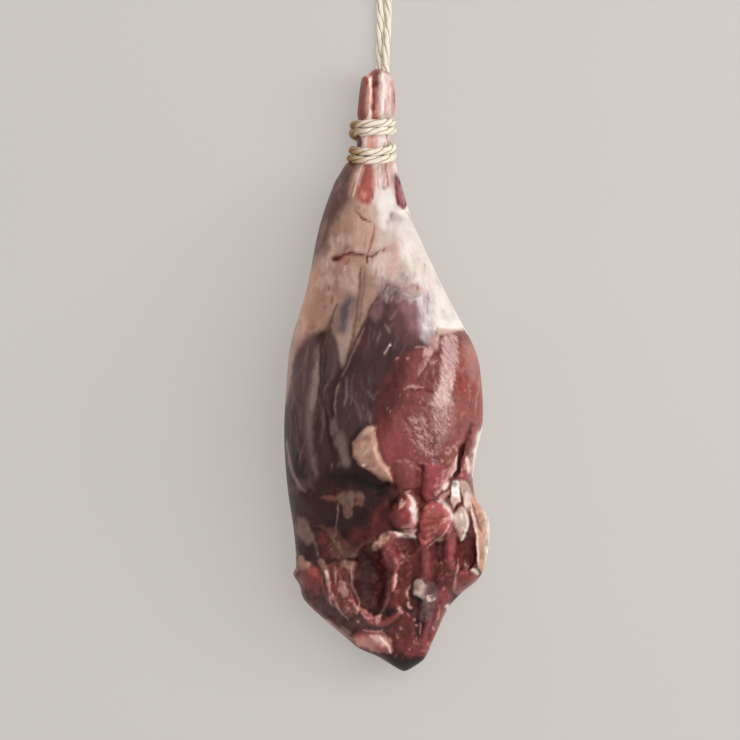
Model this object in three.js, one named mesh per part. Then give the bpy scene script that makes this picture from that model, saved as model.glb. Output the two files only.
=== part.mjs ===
// A raw leg of meat, tied round its shank with sisal twine, lying on its back.
// Millimetres, +Z up. The shank points along +Y, and the side that was cut open faces up.
import * as THREE from "three";

// Driving dimensions
const legLength = 460.7;
const twineDiameter = 6;
const tipRadius = 10; // rounding of the lower end
const shankEndRadius = 7; // rounding of the shank's end
const widestShare = 0.45; // how far up a cross-section is widest
const frontRoundness = 2.2; // exponent of the upper half of a cross-section: 2 is an ellipse
const backRoundness = 2.6; // the back is a little flatter
const twineToMeat = 0.7; // space between the twine's round and the shank
const strandSpace = 0.3; // space between the winding and the free twine
const loopLift = 0.2; // the free twine just clears the surface it lies on
const lobeDrop = 5.5; // how much shorter the shank's left lobe is

// The leg is measured from its lower tip: [up the leg, side position], +X on the right.
const leftEdge = [
  [0, 7], [10, -4.4], [17.5, -21], [25, -30], [40, -47.7], [55, -63], [66, -66.5],
  [74.5, -71.3], [80, -69.3], [105, -70.5], [140, -75.5], [180, -78.1], [215, -76.6],
  [250, -73.2], [290, -61.5], [340, -51.2], [372, -40.5], [380, -36], [386, -26],
  [391, -22.5], [401, -22.4], [410, -22.2], [421, -21.2], [427, -22.3],
  [445, -20.6], [460.7, -18.5],
];
const rightEdge = [
  [0, 20], [10, 29.1], [25, 36], [48, 46.6], [60, 57], [71, 70], [86, 76.2], [108, 78.5],
  [120, 76.6], [130, 69], [147, 65.7], [165, 68], [190, 73], [222, 72], [245, 67.5],
  [290, 44.5], [321, 29.8], [344, 19.6], [367, 12.7], [380, 7.6], [387, 2.4], [391, 1],
  [404.5, 0.6], [408.4, 3.4], [412, 0.6], [424, 0.4], [428.5, 5], [443, 6.1], [460.7, 3.5],
];
// Heights above the surface it lies on: [up the leg, height].
const backHeight = [
  [0, 15], [25, 10.5], [55, 5], [86, 1.5], [116, -1], [210, -1.2], [240, 0], [300, 3.5],
  [360, 7], [386, 7.4], [425, 7.4], [445, 8.6], [460.7, 11],
];
const frontHeight = [
  [0, 34], [10, 41], [25, 50], [40, 60], [70, 73], [100, 85], [131, 96], [162, 106],
  [205, 110], [238, 106], [268, 98], [298, 88], [329, 77], [359, 62], [376, 49],
  [384, 37.5], [387.5, 31], [391, 30], [401, 30], [405.5, 33], [410, 30], [422, 30],
  [427, 34.5], [443, 36], [460.7, 34],
];

// Spans of cross-sections, closer together where the meat is torn and where it is tied:
// [from, to, how many].
const spans = [
  [0, 10, 4], [10, 160, 30], [160, 300, 16], [300, 380, 6], [380, 430, 12],
  [430, 452, 3], [452, legLength, 4],
];
const frontColumns = 50;
const backColumns = 20;

const clamp01 = (v) => Math.min(1, Math.max(0, v));

function smooth(low, high, v) {
  const t = clamp01((v - low) / (high - low));
  return t * t * (3 - 2 * t);
}

// A smooth line through points [place, value], as a function of the place.
function through(points) {
  const slope = (i) => {
    const [a, b] = [points[Math.max(i - 1, 0)], points[Math.min(i + 1, points.length - 1)]];
    return (b[1] - a[1]) / (b[0] - a[0]);
  };
  return (place) => {
    let k = 0;
    while (k < points.length - 2 && points[k + 1][0] < place) k += 1;
    const [a, b] = [points[k], points[k + 1]];
    const step = b[0] - a[0];
    const t = (place - a[0]) / step;
    const rise = (b[1] - a[1]) * t * t * (3 - 2 * t);
    const bow = slope(k) * (1 - t) - slope(k + 1) * t;
    return a[1] + rise + step * t * (1 - t) * bow;
  };
}

// How far a place on the leg, seen from above, is from a line of points [x, up].
function distanceTo(path, x, up) {
  let best = Infinity;
  for (let i = 1; i < path.length; i += 1) {
    const [ax, ay] = path[i - 1];
    const [bx, by] = [path[i][0] - ax, path[i][1] - ay];
    const t = clamp01(((x - ax) * bx + (up - ay) * by) / (bx * bx + by * by));
    best = Math.min(best, Math.hypot(x - ax - t * bx, up - ay - t * by));
  }
  return best;
}

function inside(outline, x, up) {
  let odd = false;
  outline.forEach(([ax, ay], i) => {
    const [bx, by] = outline[(i + 1) % outline.length];
    if (ay > up !== by > up && x < ax + ((up - ay) / (by - ay)) * (bx - ax)) odd = !odd;
  });
  return odd;
}

// Three kinds of relief, each a height as a function of the place.
// A ridge along a path, or a groove where the height is negative.
function ridge(height, width, path) {
  return (x, up) => height * Math.exp(-((distanceTo(path, x, up) / width) ** 2));
}

// A round lump, or a hollow.
function lump(height, x0, up0, wide, tall) {
  return (x, up) => {
    const r = Math.hypot((x - x0) / wide, (up - up0) / tall);
    return height * Math.max(0, 1 - r * r) ** 0.75;
  };
}

// A raised layer with a torn edge.
function layer(height, edge, outline) {
  const ring = [...outline, outline[0]];
  return (x, up) => {
    const depth = distanceTo(ring, x, up) * (inside(outline, x, up) ? 1 : -1);
    return height * smooth(-edge, edge, depth);
  };
}

const shankRelief = [
  ridge(-3.5, 2.6, [[-10, 462], [-10, 445], [-11, 430]]), // between the two lobes
  ridge(1.4, 3, [[-3.5, 456], [-3.5, 428]]),
  ridge(1, 2.5, [[-14.5, 452], [-15.5, 430]]),
];

const upperLegRelief = [
  ridge(1.8, 6, [[-13, 382], [-16, 370], [-20, 358]]), // the shin muscle's end
  ridge(-5, 4.5, [[8, 376], [10, 366], [11, 357]]), // slit pocket beside the tendon
  ridge(2, 3, [[7, 385], [13, 376], [17, 364], [18, 352]]), // its outer lip
  ridge(-1, 5, [[-36, 320], [-20, 315], [0, 322]]),
];

const thighRelief = [
  ridge(-3, 7, [[0, 293], [-15, 270], [-25, 250], [-34, 228], [-40, 205], [-43, 180], [-41, 158]]),
  ridge(-1.2, 6, [[-18, 303], [-20, 275], [-26, 252], [-32, 235]]),
  ridge(2.5, 9, [[-64, 250], [-68, 225], [-69, 195], [-66, 165]]), // outer muscle
  ridge(2, 6, [[-45, 250], [-48, 225], [-52, 195], [-50, 165]]), // the muscle beside it
  ridge(-2, 5, [[-50, 255], [-54, 222], [-61, 190], [-58, 165], [-52, 140]]), // fat between them
  ridge(3, 18, [[-18, 245], [-26, 215], [-27, 190]]), // muscle under its membrane
];

const openRelief = [
  ridge(2.6, 6, [[20, 263], [33, 265], [46, 262], [60, 264], [68, 260]]), // edge of the fat cap
  ridge(-1.8, 6, [[30, 252], [46, 250], [62, 252]]), // bare meat just under that edge
  layer(4, 2.5, [
    [-27, 175], [-20, 183], [-17, 188], [-10, 188], [-9, 172], [-4, 160], [3, 152], [3, 146],
    [-5, 149], [-20, 158], [-26, 166],
  ]), // flap of fat that hangs over the cut
  ridge(-5, 6, [[-42, 148], [-28, 147], [-8, 140], [4, 141]]), // shade under the flap
  lump(4, 14, 149, 13, 13),
  lump(4, 35, 145, 12, 18),
  ridge(-3, 4, [[25, 155], [24, 133]]),
  ridge(-7, 4, [[63, 188], [60, 178], [54, 165], [52, 152], [49, 144]]), // split at the right
  ridge(3, 4.5, [[62, 180], [60, 163], [58, 147]]),
];

const lowerRelief = [
  lump(10, 13.5, 122, 12.5, 15), // the knob of tendon
  lump(8, 37, 115, 14, 16), // the ribbed lump beside it
  lump(-10, 13.5, 98, 11, 8), // hole under the knob
  ridge(3.5, 4, [[-12, 94], [-4, 98], [3, 105]]), // lip of fat
  lump(-17, -13, 71, 14, 29), // the open middle, where the bone was
  lump(7, 1, 91, 7, 12),
  ridge(6, 3.2, [[6.5, 84], [5, 74], [5, 62]]), // strand that hangs across
  ridge(5, 5.5, [[27, 104], [27, 72]]),
  ridge(4, 5, [[46, 110], [46, 82]]),
  ridge(-3, 3.5, [[36, 104], [35, 70]]),
  lump(-9, 59, 92, 9, 16), // recess behind the right flap
  ridge(3.5, 6, [[67, 128], [71, 112], [71, 98], [69, 82]]), // the flap of skin fat
  ridge(2.5, 5, [[54, 142], [58, 122], [52, 108]]),
  lump(3, -35, 123, 32, 15), // dark muscle on the left
  lump(2.5, -60, 109, 9, 12),
  lump(3.5, -39, 62, 16, 19), // marbled meat
  lump(3, -58, 70, 9, 13),
  ridge(-4, 4.5, [[-58, 62], [-48, 53], [-38, 45], [-27, 36], [-21, 30]]), // inside the rim
  ridge(5, 5, [[-20, 49], [-13, 39], [-2, 36], [8, 44]]), // the crescent
  ridge(-4, 4, [[18, 64], [24, 55], [26, 44], [24, 30]]),
  lump(3.5, 25, 62, 8, 12),
  lump(3, -9, 24, 14, 9), // pearly fat near the tip
];

const reliefs = [
  ...shankRelief, ...upperLegRelief, ...thighRelief, ...openRelief, ...lowerRelief,
];

// The cut and torn end is uneven all over.
function crags(x, up) {
  const waves = Math.sin(x / 4.7 + 2.1 * Math.sin(up / 11)) * Math.sin(up / 5.3 + 1.7 * Math.sin(x / 9));
  return 1.1 * waves * (1 - smooth(120, 165, up));
}

function relief(x, up) {
  return reliefs.reduce((sum, height) => sum + height(x, up), crags(x, up));
}

const edges = { left: through(leftEdge), right: through(rightEdge) };
const heights = { back: through(backHeight), front: through(frontHeight) };

// The rounding of the two ends: 1 along the leg, 0 at the very tip and the very top.
function rounding(up) {
  const low = clamp01(1 - up / tipRadius);
  const high = clamp01(1 - (legLength - up) / shankEndRadius);
  return Math.sqrt(1 - Math.max(low, high) ** 2);
}

const power = (v, exponent) => Math.sign(v) * Math.abs(v) ** exponent;

// A point of the plain cross-section; turn runs from the left edge over the front.
function section(up, turn) {
  const [left, right] = [edges.left(up), edges.right(up)];
  const [back, front] = [heights.back(up), heights.front(up)];
  const middle = back + widestShare * (front - back);
  const rise = Math.sin(turn);
  const exponent = 2 / (rise > 0 ? frontRoundness : backRoundness);
  const reach = (rise > 0 ? front - middle : middle - back) * rounding(up);
  return new THREE.Vector3(
    (left + right) / 2 - ((right - left) / 2) * rounding(up) * power(Math.cos(turn), exponent),
    up,
    middle + reach * power(rise, exponent),
  );
}

// 1 where the twine squeezes the shank smooth.
const tied = (up) => smooth(378, 386, up) * (1 - smooth(426, 432, up));

// The real surface: the cross-section with its relief, flat where it rests.
function surface(up, turn) {
  const point = section(up, turn);
  const facing = smooth(0.05, 0.4, Math.sin(turn)) * rounding(up) * (1 - tied(up));
  point.z = Math.max(0, point.z + facing * relief(point.x, up));
  point.y -= lobeDrop * smooth(-8, -14, point.x) * smooth(440, 458, up);
  return point;
}

function rowHeights() {
  const rows = spans.flatMap(([from, to, count]) =>
    Array.from({ length: count }, (_, i) => from + ((to - from) * i) / count),
  );
  return [...rows, legLength];
}

// Half a turn over the front, then half a turn under the back, in columns.
function turnAt(column) {
  if (column <= frontColumns) return (Math.PI * column) / frontColumns;
  return Math.PI * (1 + (column - frontColumns) / backColumns);
}

function legGeometry() {
  const rows = rowHeights();
  const columns = frontColumns + backColumns;
  const sphere = new THREE.SphereGeometry(1, columns, rows.length - 1);
  const { position } = sphere.attributes;
  for (let i = 0; i < position.count; i += 1) {
    const row = rows.length - 1 - Math.floor(i / (columns + 1));
    const column = (i % (columns + 1)) % columns;
    position.setXYZ(i, ...surface(rows[row], turnAt(column)));
  }
  sphere.computeVertexNormals();
  return sphere;
}

// The twine's way round the shank: [turns from the left edge, up the leg].
const windingHeight = through([
  [-0.25, 392.7], [0, 394.5], [0.25, 390.9], [0.5, 395.5], [0.75, 399], [1, 400.8],
  [1.25, 397.2], [1.5, 401.8], [1.75, 405.3], [2, 408.6], [2.25, 413], [2.5, 415],
  [2.75, 416.2], [3, 417.3], [3.25, 419.3], [3.5, 421.3], [3.75, 422.5],
]);
const windingStart = -0.25;
const windingEnd = 3.75;

class Winding extends THREE.Curve {
  getPoint(t, target = new THREE.Vector3()) {
    const turns = windingStart + t * (windingEnd - windingStart);
    const up = windingHeight(turns);
    const turn = turns * 2 * Math.PI;
    const point = section(up, turn);
    const along = section(up, turn + 0.01).sub(section(up, turn - 0.01)).normalize();
    const out = twineDiameter / 2 + twineToMeat;
    return target.set(point.x - along.z * out, up, point.z + along.x * out);
  }
}

// A tube of twine along a curve.
function twine(path, steps, sides) {
  const corner = (i) => new THREE.Vector2(twineDiameter / 2, 0).rotateAround(
    new THREE.Vector2(), (2 * Math.PI * i) / sides);
  const round = new THREE.Shape(Array.from({ length: sides }, (_, i) => corner(i)));
  return new THREE.ExtrudeGeometry(round, { extrudePath: path, steps, bevelEnabled: false });
}

// The free end: the twine doubled, from behind the shank to the eye it hung by.
// [side position, up the leg, height of its middle]
function loopPath() {
  const floor = twineDiameter / 2 + loopLift;
  const start = windingHeight(windingEnd) + twineDiameter / 2 + strandSpace;
  const leftStrand = [
    [-6, start, floor], [-6, 440, floor], [-5.6, 462, floor], [-5.3, 485, floor],
    [-5.3, 512, floor], [-8, 528, floor], [-14, 543, floor],
  ];
  const eye = [
    [-16.5, 557, floor], [-12, 569, floor], [-2.2, 574, floor], [7.6, 569, floor],
    [12.1, 557, floor],
  ];
  const rightStrand = [
    [9.6, 543, floor], [3.6, 528, floor], [1.1, 512, floor], [1.1, 497, floor],
    [0.2, 485, floor + 2], [-0.7, 472, floor + 4.2], [-0.6, 461, floor + 3.6],
    [0.2, 448, floor + 0.7], [0.5, 438, floor], [0.5, start, floor],
  ];
  return new THREE.CatmullRomCurve3(
    [...leftStrand, ...eye, ...rightStrand].map((p) => new THREE.Vector3(...p)));
}

const meat = new THREE.MeshStandardMaterial({ color: "#8f4a4a", roughness: 0.4, metalness: 0 });
const sisal = new THREE.MeshStandardMaterial({ color: "#dcc9a3", roughness: 0.9, metalness: 0 });

function mesh(name, geometry, material) {
  const made = new THREE.Mesh(geometry, material);
  made.name = name;
  return made;
}

const leg = mesh("leg", legGeometry(), meat);
const winding = mesh("twine_winding", twine(new Winding(), 76, 8), sisal);
const loop = mesh("twine_loop", twine(loopPath(), 48, 8), sisal);

// The origin is on the resting surface, under the middle of the leg's box.
const part = new THREE.Group();
part.add(leg, winding, loop);
const box = new THREE.Box3().setFromObject(leg);
part.position.set(-(box.min.x + box.max.x) / 2, -(box.min.y + box.max.y) / 2, -box.min.z);

export default part;
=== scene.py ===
import math

import bpy
import numpy as np
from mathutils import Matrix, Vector


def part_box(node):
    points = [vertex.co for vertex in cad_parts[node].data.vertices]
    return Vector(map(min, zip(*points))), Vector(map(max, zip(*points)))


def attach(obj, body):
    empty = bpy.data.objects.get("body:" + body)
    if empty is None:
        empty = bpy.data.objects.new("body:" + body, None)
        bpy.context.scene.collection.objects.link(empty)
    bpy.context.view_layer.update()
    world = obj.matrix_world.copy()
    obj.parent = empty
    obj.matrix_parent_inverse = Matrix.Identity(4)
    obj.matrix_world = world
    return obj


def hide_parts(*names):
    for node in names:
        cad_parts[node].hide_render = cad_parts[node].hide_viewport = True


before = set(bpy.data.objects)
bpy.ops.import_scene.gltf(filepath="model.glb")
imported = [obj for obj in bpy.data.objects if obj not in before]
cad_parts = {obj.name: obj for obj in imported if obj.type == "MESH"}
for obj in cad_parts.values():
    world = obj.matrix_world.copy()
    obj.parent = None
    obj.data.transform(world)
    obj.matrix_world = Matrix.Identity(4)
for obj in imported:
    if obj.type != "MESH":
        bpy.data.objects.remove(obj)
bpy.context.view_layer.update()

scene = bpy.context.scene
millimetre = 0.001


def clamp01(v):
    return np.clip(v, 0.0, 1.0)


def smooth(low, high, v):
    t = clamp01((v - low) / (high - low))
    return t * t * (3 - 2 * t)


def power(v, exponent):
    return np.sign(v) * np.abs(v) ** exponent


def through(points):
    # a smooth line through points (place, value), as a function of the place
    places, values = np.array(points, float).T
    before = np.maximum(np.arange(len(places)) - 1, 0)
    after = np.minimum(np.arange(len(places)) + 1, len(places) - 1)
    slopes = (values[after] - values[before]) / (places[after] - places[before])

    def curve(place):
        k = np.minimum(np.searchsorted(places[1:], place), len(places) - 2)
        step = places[k + 1] - places[k]
        t = (place - places[k]) / step
        rise = (values[k + 1] - values[k]) * t * t * (3 - 2 * t)
        return values[k] + rise + step * t * (1 - t) * (slopes[k] * (1 - t) - slopes[k + 1] * t)

    return curve


def evenOut(points, closed=False, rounds=2):
    # cuts the corners of a drawn line, twice by default
    line = np.array(points, float)
    for _ in range(rounds):
        nextOnes = np.roll(line, -1, axis=0)
        pairs = np.stack([0.75 * line + 0.25 * nextOnes, 0.25 * line + 0.75 * nextOnes], axis=1)
        if closed:
            line = pairs.reshape(-1, line.shape[1])
        else:
            line = np.vstack([line[:1], pairs[:-1].reshape(-1, line.shape[1]), line[-1:]])
    return line


def distanceTo(line, x, up):
    # how far each place is from a line, and how far along the line the nearest point is
    best = np.full(x.shape, np.inf)
    along = np.zeros(x.shape)
    steps = np.hypot(*np.diff(line, axis=0).T)
    walked = np.concatenate([[0], np.cumsum(steps)])
    for i, ((ax, ay), (bx, by)) in enumerate(zip(line[:-1], line[1:])):
        dx, dy = bx - ax, by - ay
        t = clamp01(((x - ax) * dx + (up - ay) * dy) / max(dx * dx + dy * dy, 1e-9))
        gap = np.hypot(x - ax - t * dx, up - ay - t * dy)
        nearer = gap < best
        best = np.where(nearer, gap, best)
        along = np.where(nearer, (walked[i] + t * steps[i]) / max(walked[-1], 1e-9), along)
    return best, along


def insideOf(outline, x, up):
    odd = np.zeros(x.shape, bool)
    for (ax, ay), (bx, by) in zip(outline, np.roll(outline, -1, axis=0)):
        if ay != by:
            odd ^= ((ay > up) != (by > up)) & (x < ax + (up - ay) / (by - ay) * (bx - ax))
    return odd


def depthIn(outline, x, up):
    # distance to an outline, positive inside it
    ring = np.vstack([outline, outline[:1]])
    return np.where(insideOf(outline, x, up), 1, -1) * distanceTo(ring, x, up)[0]


def unevenness(a, b, size, seed, octaves=3):
    # a seeded random field, about -1 to 1, with bumps of that size
    total, cells = 0, 97      # it repeats after so many bumps
    for k in range(octaves):
        grid = np.random.default_rng(seed + k).uniform(-1, 1, (cells, cells))
        p, q = a * 2 ** k / size, b * 2 ** k / size
        i, j = np.floor(p).astype(int), np.floor(q).astype(int)
        s, t = p - i, q - j
        s, t = s * s * (3 - 2 * s), t * t * (3 - 2 * t)
        i, j, nextI, nextJ = i % cells, j % cells, (i + 1) % cells, (j + 1) % cells
        low = grid[i, j] * (1 - s) + grid[nextI, j] * s
        high = grid[i, nextJ] * (1 - s) + grid[nextI, nextJ] * s
        total = total + (low * (1 - t) + high * t) / 2 ** k
    return total


def newObject(name, data):
    made = bpy.data.objects.new(name, data)
    scene.collection.objects.link(made)
    return made


class Wire:
    # one output of a node, so that node maths reads as plain expressions
    def __init__(self, shop, node, out=0):
        self.shop, self.node = shop, node
        self.socket = node.outputs[out] if node.outputs else None

    def out(self, name):
        return Wire(self.shop, self.node, name)

    def __add__(self, other):
        return self.shop.maths("ADD", self, other)

    def __sub__(self, other):
        return self.shop.maths("SUBTRACT", self, other)

    def __rsub__(self, other):
        return self.shop.maths("SUBTRACT", other, self)

    def __mul__(self, other):
        return self.shop.maths("MULTIPLY", self, other)

    def __truediv__(self, other):
        return self.shop.maths("DIVIDE", self, other)

    __radd__ = __add__
    __rmul__ = __mul__


class Shop:
    # adds nodes to one tree
    def __init__(self, tree):
        self.tree = tree

    def node(self, kind, settings=None, inputs=None, out=0):
        made = self.tree.nodes.new(kind)
        for name, value in (settings or {}).items():
            setattr(made, name, value)
        for name, value in (inputs or {}).items():
            if isinstance(value, Wire):
                self.tree.links.new(value.socket, made.inputs[name])
            else:
                made.inputs[name].default_value = value
        return Wire(self, made, out)

    def maths(self, operation, first, second=0.0):
        return self.node("ShaderNodeMath", {"operation": operation}, {0: first, 1: second})

    def attribute(self, name, out="Fac"):
        return self.node("ShaderNodeAttribute", {"attribute_name": name}, out=out)

    def objectPlace(self):
        return self.node("ShaderNodeTexCoord", out="Object")

    def between(self, value, low, high):
        # 0 below low, 1 above high, smooth in between
        settings = {"interpolation_type": "SMOOTHSTEP"}
        return self.node("ShaderNodeMapRange", settings, {"Value": value, 1: low, 2: high})

    def mix(self, factor, first, second, blend="MIX"):
        settings = {"data_type": "RGBA", "blend_type": blend}
        return self.node("ShaderNodeMix", settings, {0: factor, 6: first, 7: second}, out=2)

    def dimmed(self, colour, light):
        # a colour times a share of light
        grey = self.node("ShaderNodeCombineColor", {}, {0: light, 1: light, 2: light})
        return self.mix(1.0, colour, grey, "MULTIPLY")

    def noise(self, place, size, detail=3.0, stretch=(1, 1, 1), twist=0.0):
        # soft random values 0 to 1, with lumps about size metres across
        scale = tuple(v / size for v in stretch)
        spread = self.node("ShaderNodeVectorMath", {"operation": "MULTIPLY"}, {0: place, 1: scale})
        values = {"Vector": spread, "Scale": 1.0, "Detail": detail, "Roughness": 0.55,
                  "Distortion": twist}
        return self.node("ShaderNodeTexNoise", {}, values)

    def threads(self, place, size, width, stretch=(1, 1, 1)):
        # 1 along thin winding lines, 0 between them
        field = self.noise(place, size, detail=1, stretch=stretch, twist=0.4)
        return 1 - self.between(self.maths("ABSOLUTE", field - 0.5), 0.0, width)


def tone(hexColour):
    # a colour as written in a paint program, in the linear values that Blender mixes
    parts = [int(hexColour[i:i + 2], 16) / 255 for i in (1, 3, 5)]
    return tuple(v / 12.92 if v <= 0.04045 else ((v + 0.055) / 1.055) ** 2.4 for v in parts)


def solid(hexColour):
    return (*tone(hexColour), 1)


def newFinish(name):
    material = bpy.data.materials.new(name)
    material.use_nodes = True
    material.node_tree.nodes.clear()
    return material, Shop(material.node_tree)


def closeFinish(shop, values, normal=None):
    if normal is not None:
        values = {**values, "Normal": normal}
    shader = shop.node("ShaderNodeBsdfPrincipled", {}, values)
    shop.node("ShaderNodeOutputMaterial", {}, {"Surface": shader})


view = {
    "height": 5.0,               # above the surface the leg lies on
    "middle": (-0.01293, -0.00007),
    "seenWidth": 0.5624,         # what the picture is wide, at mid depth
    "midDepth": 0.055,
    "sensor": 36.0,
}


def addCamera():
    data = bpy.data.cameras.new("camera")
    data.sensor_width = view["sensor"]
    data.lens = view["sensor"] * (view["height"] - view["midDepth"]) / view["seenWidth"]
    camera = newObject("camera", data)
    camera.location = (*view["middle"], view["height"])
    scene.camera = camera


addCamera()
print("camera placed")


# Leg measures are in millimetres: up from the lower tip, and x to the right.
legForm = {
    "length": 460.7,
    "tipRadius": 10, "shankEndRadius": 7,
    "widestShare": 0.45,
    "frontRoundness": 2.2, "backRoundness": 2.6,
    "lobeDrop": 2.0,          # how much lower the shank's left lobe ends, and where that lobe is
    "lobeAcross": (-8, -14), "lobeUp": (440, 458),
    "tiedFrom": (382, 389), "tiedTo": (424, 430),  # where the twine's squeeze begins and ends
    "leftEdge": [
        (0, 7), (10, -4.4), (17.5, -21), (25, -30), (40, -47.7), (55, -63), (66, -66.5),
        (74.5, -71.3), (80, -69.3), (105, -70.5), (140, -75.5), (180, -78.1), (215, -76.6),
        (250, -73.2), (290, -61.5), (340, -51.2), (372, -40.5), (380, -36), (385.5, -32.6),
        (389, -30), (391.4, -25), (393.4, -22.6), (401, -22.4), (410, -22.2), (421, -21.2), (427, -22.3),
        (445, -20.6), (460.7, -18.5)],
    "rightEdge": [
        (0, 20), (10, 29.1), (25, 36), (48, 46.6), (60, 57), (71, 70), (86, 76.2), (108, 78.5),
        (120, 76.6), (130, 69), (147, 65.7), (165, 68), (190, 73), (222, 72), (245, 67.5),
        (290, 44.5), (321, 29.8), (344, 19.6), (367, 12.7), (380, 9), (387, 6.9), (391, 4.6), (394, 1),
        (404.5, 1), (408.4, 2), (412, 0.8), (422.4, 0.8), (425.4, 5), (429, 6.2), (443, 6.4),
        (460.7, 3.5)],
    "backHeight": [
        (0, 15), (25, 10.5), (55, 5), (86, 1.5), (116, -1), (210, -1.2), (240, 0), (300, 3.5),
        (360, 7), (386, 7.4), (425, 7.4), (445, 8.6), (460.7, 11)],
    "frontHeight": [
        (0, 34), (10, 41), (25, 50), (40, 60), (70, 73), (100, 85), (131, 96), (162, 106),
        (205, 110), (238, 106), (268, 98), (298, 88), (329, 77), (359, 62), (376, 49),
        (383, 41.6), (386, 36), (388, 31), (391, 30), (401, 30), (405.5, 33), (410, 30), (422, 30),
        (427, 34.5), (443, 36), (460.7, 34)],
}
legEdges = {side: through(legForm[side]) for side in ("leftEdge", "rightEdge")}
legHeights = {side: through(legForm[side]) for side in ("backHeight", "frontHeight")}

# where the leg's own zero lies in the part's frame, in millimetres
legLow = np.array(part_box("leg")[0]) / millimetre
legZero = np.array([legLow[0] - min(x for _, x in legForm["leftEdge"]), legLow[1], legLow[2]])


def rounding(up):
    low = clamp01(1 - up / legForm["tipRadius"])
    high = clamp01(1 - (legForm["length"] - up) / legForm["shankEndRadius"])
    return np.sqrt(1 - np.maximum(low, high) ** 2)


def tied(up):
    # 1 where the twine squeezes the shank
    return smooth(*legForm["tiedFrom"], up) * (1 - smooth(*legForm["tiedTo"], up))


def section(up, turn, swell=0.0):
    # a point of the plain cross-section; turn runs from the left edge over the front
    left, right = legEdges["leftEdge"](up) - swell, legEdges["rightEdge"](up) + swell
    back, front = legHeights["backHeight"](up) - swell, legHeights["frontHeight"](up) + swell
    middle = back + legForm["widestShare"] * (front - back)
    rise = np.sin(turn)
    exponent = np.where(rise > 0, 2 / legForm["frontRoundness"], 2 / legForm["backRoundness"])
    reach = np.where(rise > 0, front - middle, middle - back) * rounding(up)
    x = (left + right) / 2 - (right - left) / 2 * rounding(up) * power(np.cos(turn), exponent)
    return x, middle + reach * power(rise, exponent)


def outwards(up, turn, nudge=0.01):
    # which way the cross-section faces, in x and z
    (ax, az), (bx, bz) = section(up, turn - nudge), section(up, turn + nudge)
    size = np.maximum(np.hypot(bx - ax, bz - az), 1e-9)
    return -(bz - az) / size, (bx - ax) / size


twine = {
    "diameter": 0.006,
    "pulledDiameter": 0.0064,  # where it is wound and pressed flat against its neighbour
    "strands": 3,
    "lay": 0.046,             # one full turn of its strands
    "pulledLay": 0.032,
    "looseness": 2.2,         # radians that the strands wander from an even twist
    "changes": 70.0,          # of that wandering, for each metre
    "groove": 0.32,           # how deep the strands meet, as a share of the radius
    "sides": 30,
    "step": 0.0011,
    "toMeat": 0.7,            # millimetres between the winding and the shank's plain section
    "turns": (-0.25, 3.75),   # where the winding starts and ends, from the left edge
    "windingPoints": 700,
    "hairs": 70000,           # loose fibres for each square metre
    "hairLength": 0.0026,
    "hairGrowth": (0.45, 1.5),  # the shortest and the longest, as shares of that
    "hairThickness": 0.022,   # as a share of the length
    "hairFacing": 0.35,       # how far up the twine has to face where they grow
}

twineLook = {
    "light": "#fffefb", "dark": "#efe0c2", "deep": "#b39362", "leftShadeTone": "#b98f62",
    "leftShadeSpan": (0.011, 0.030),  # metres left of the middle where the painted shade makes it browner
    "leftShadeWander": 0.012,
    # the pattern is laid out in radii round the twine, and in so many units for each metre along it
    "unitsAlong": 160,
    "fibreSize": 0.13, "fibreStretch": (1, 1, 0.22), "fibreContrast": (0.34, 0.66),
    "patchSize": 1.1, "patchContrast": (0.35, 0.75), "patchStrength": 0.3,
    "grooveEdge": 0.5,        # how far up the strands the painted shade of the groove reaches
    "bumpHeight": 0.0006, "roughness": 0.85, "shine": 0.25,
    "hairPatch": 0.004, "hairRoughness": 0.8,
}

# The free twine's middle: from the winding, round the eye it hung by, and back, in metres.
floorHeight = 0.0032
loopRoute = [
    (-0.0060, 0.4258, floorHeight), (-0.0060, 0.4400, floorHeight),
    (-0.0056, 0.4620, floorHeight), (-0.0053, 0.4850, floorHeight),
    (-0.0053, 0.5120, floorHeight), (-0.0080, 0.5280, floorHeight),
    (-0.0140, 0.5430, floorHeight), (-0.0165, 0.5570, floorHeight),
    (-0.0120, 0.5690, floorHeight), (-0.0022, 0.5740, floorHeight),
    (0.0076, 0.5690, floorHeight), (0.0121, 0.5570, floorHeight),
    (0.0096, 0.5430, floorHeight), (0.0036, 0.5280, floorHeight),
    (0.0011, 0.5120, floorHeight), (0.0011, 0.4970, floorHeight),
    (0.0002, 0.4850, floorHeight + 0.0020), (-0.0007, 0.4720, floorHeight + 0.0042),
    (-0.0006, 0.4610, floorHeight + 0.0036), (0.0002, 0.4480, floorHeight + 0.0007),
    (0.0005, 0.4380, floorHeight), (0.0005, 0.4258, floorHeight),
]

# The winding's way round the shank: (turns from the left edge, up the leg in millimetres).
windingHeight = through([
    (-0.25, 391.6), (0, 392.2), (0.25, 390.2), (0.5, 394.6), (0.75, 397), (1, 398.6),
    (1.25, 396.6), (1.5, 400.8), (1.75, 405.6), (2, 411.4), (2.25, 412.4), (2.5, 413.8),
    (2.75, 415.6), (3, 417.6), (3.25, 418.6), (3.5, 420), (3.75, 420.8)])


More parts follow.
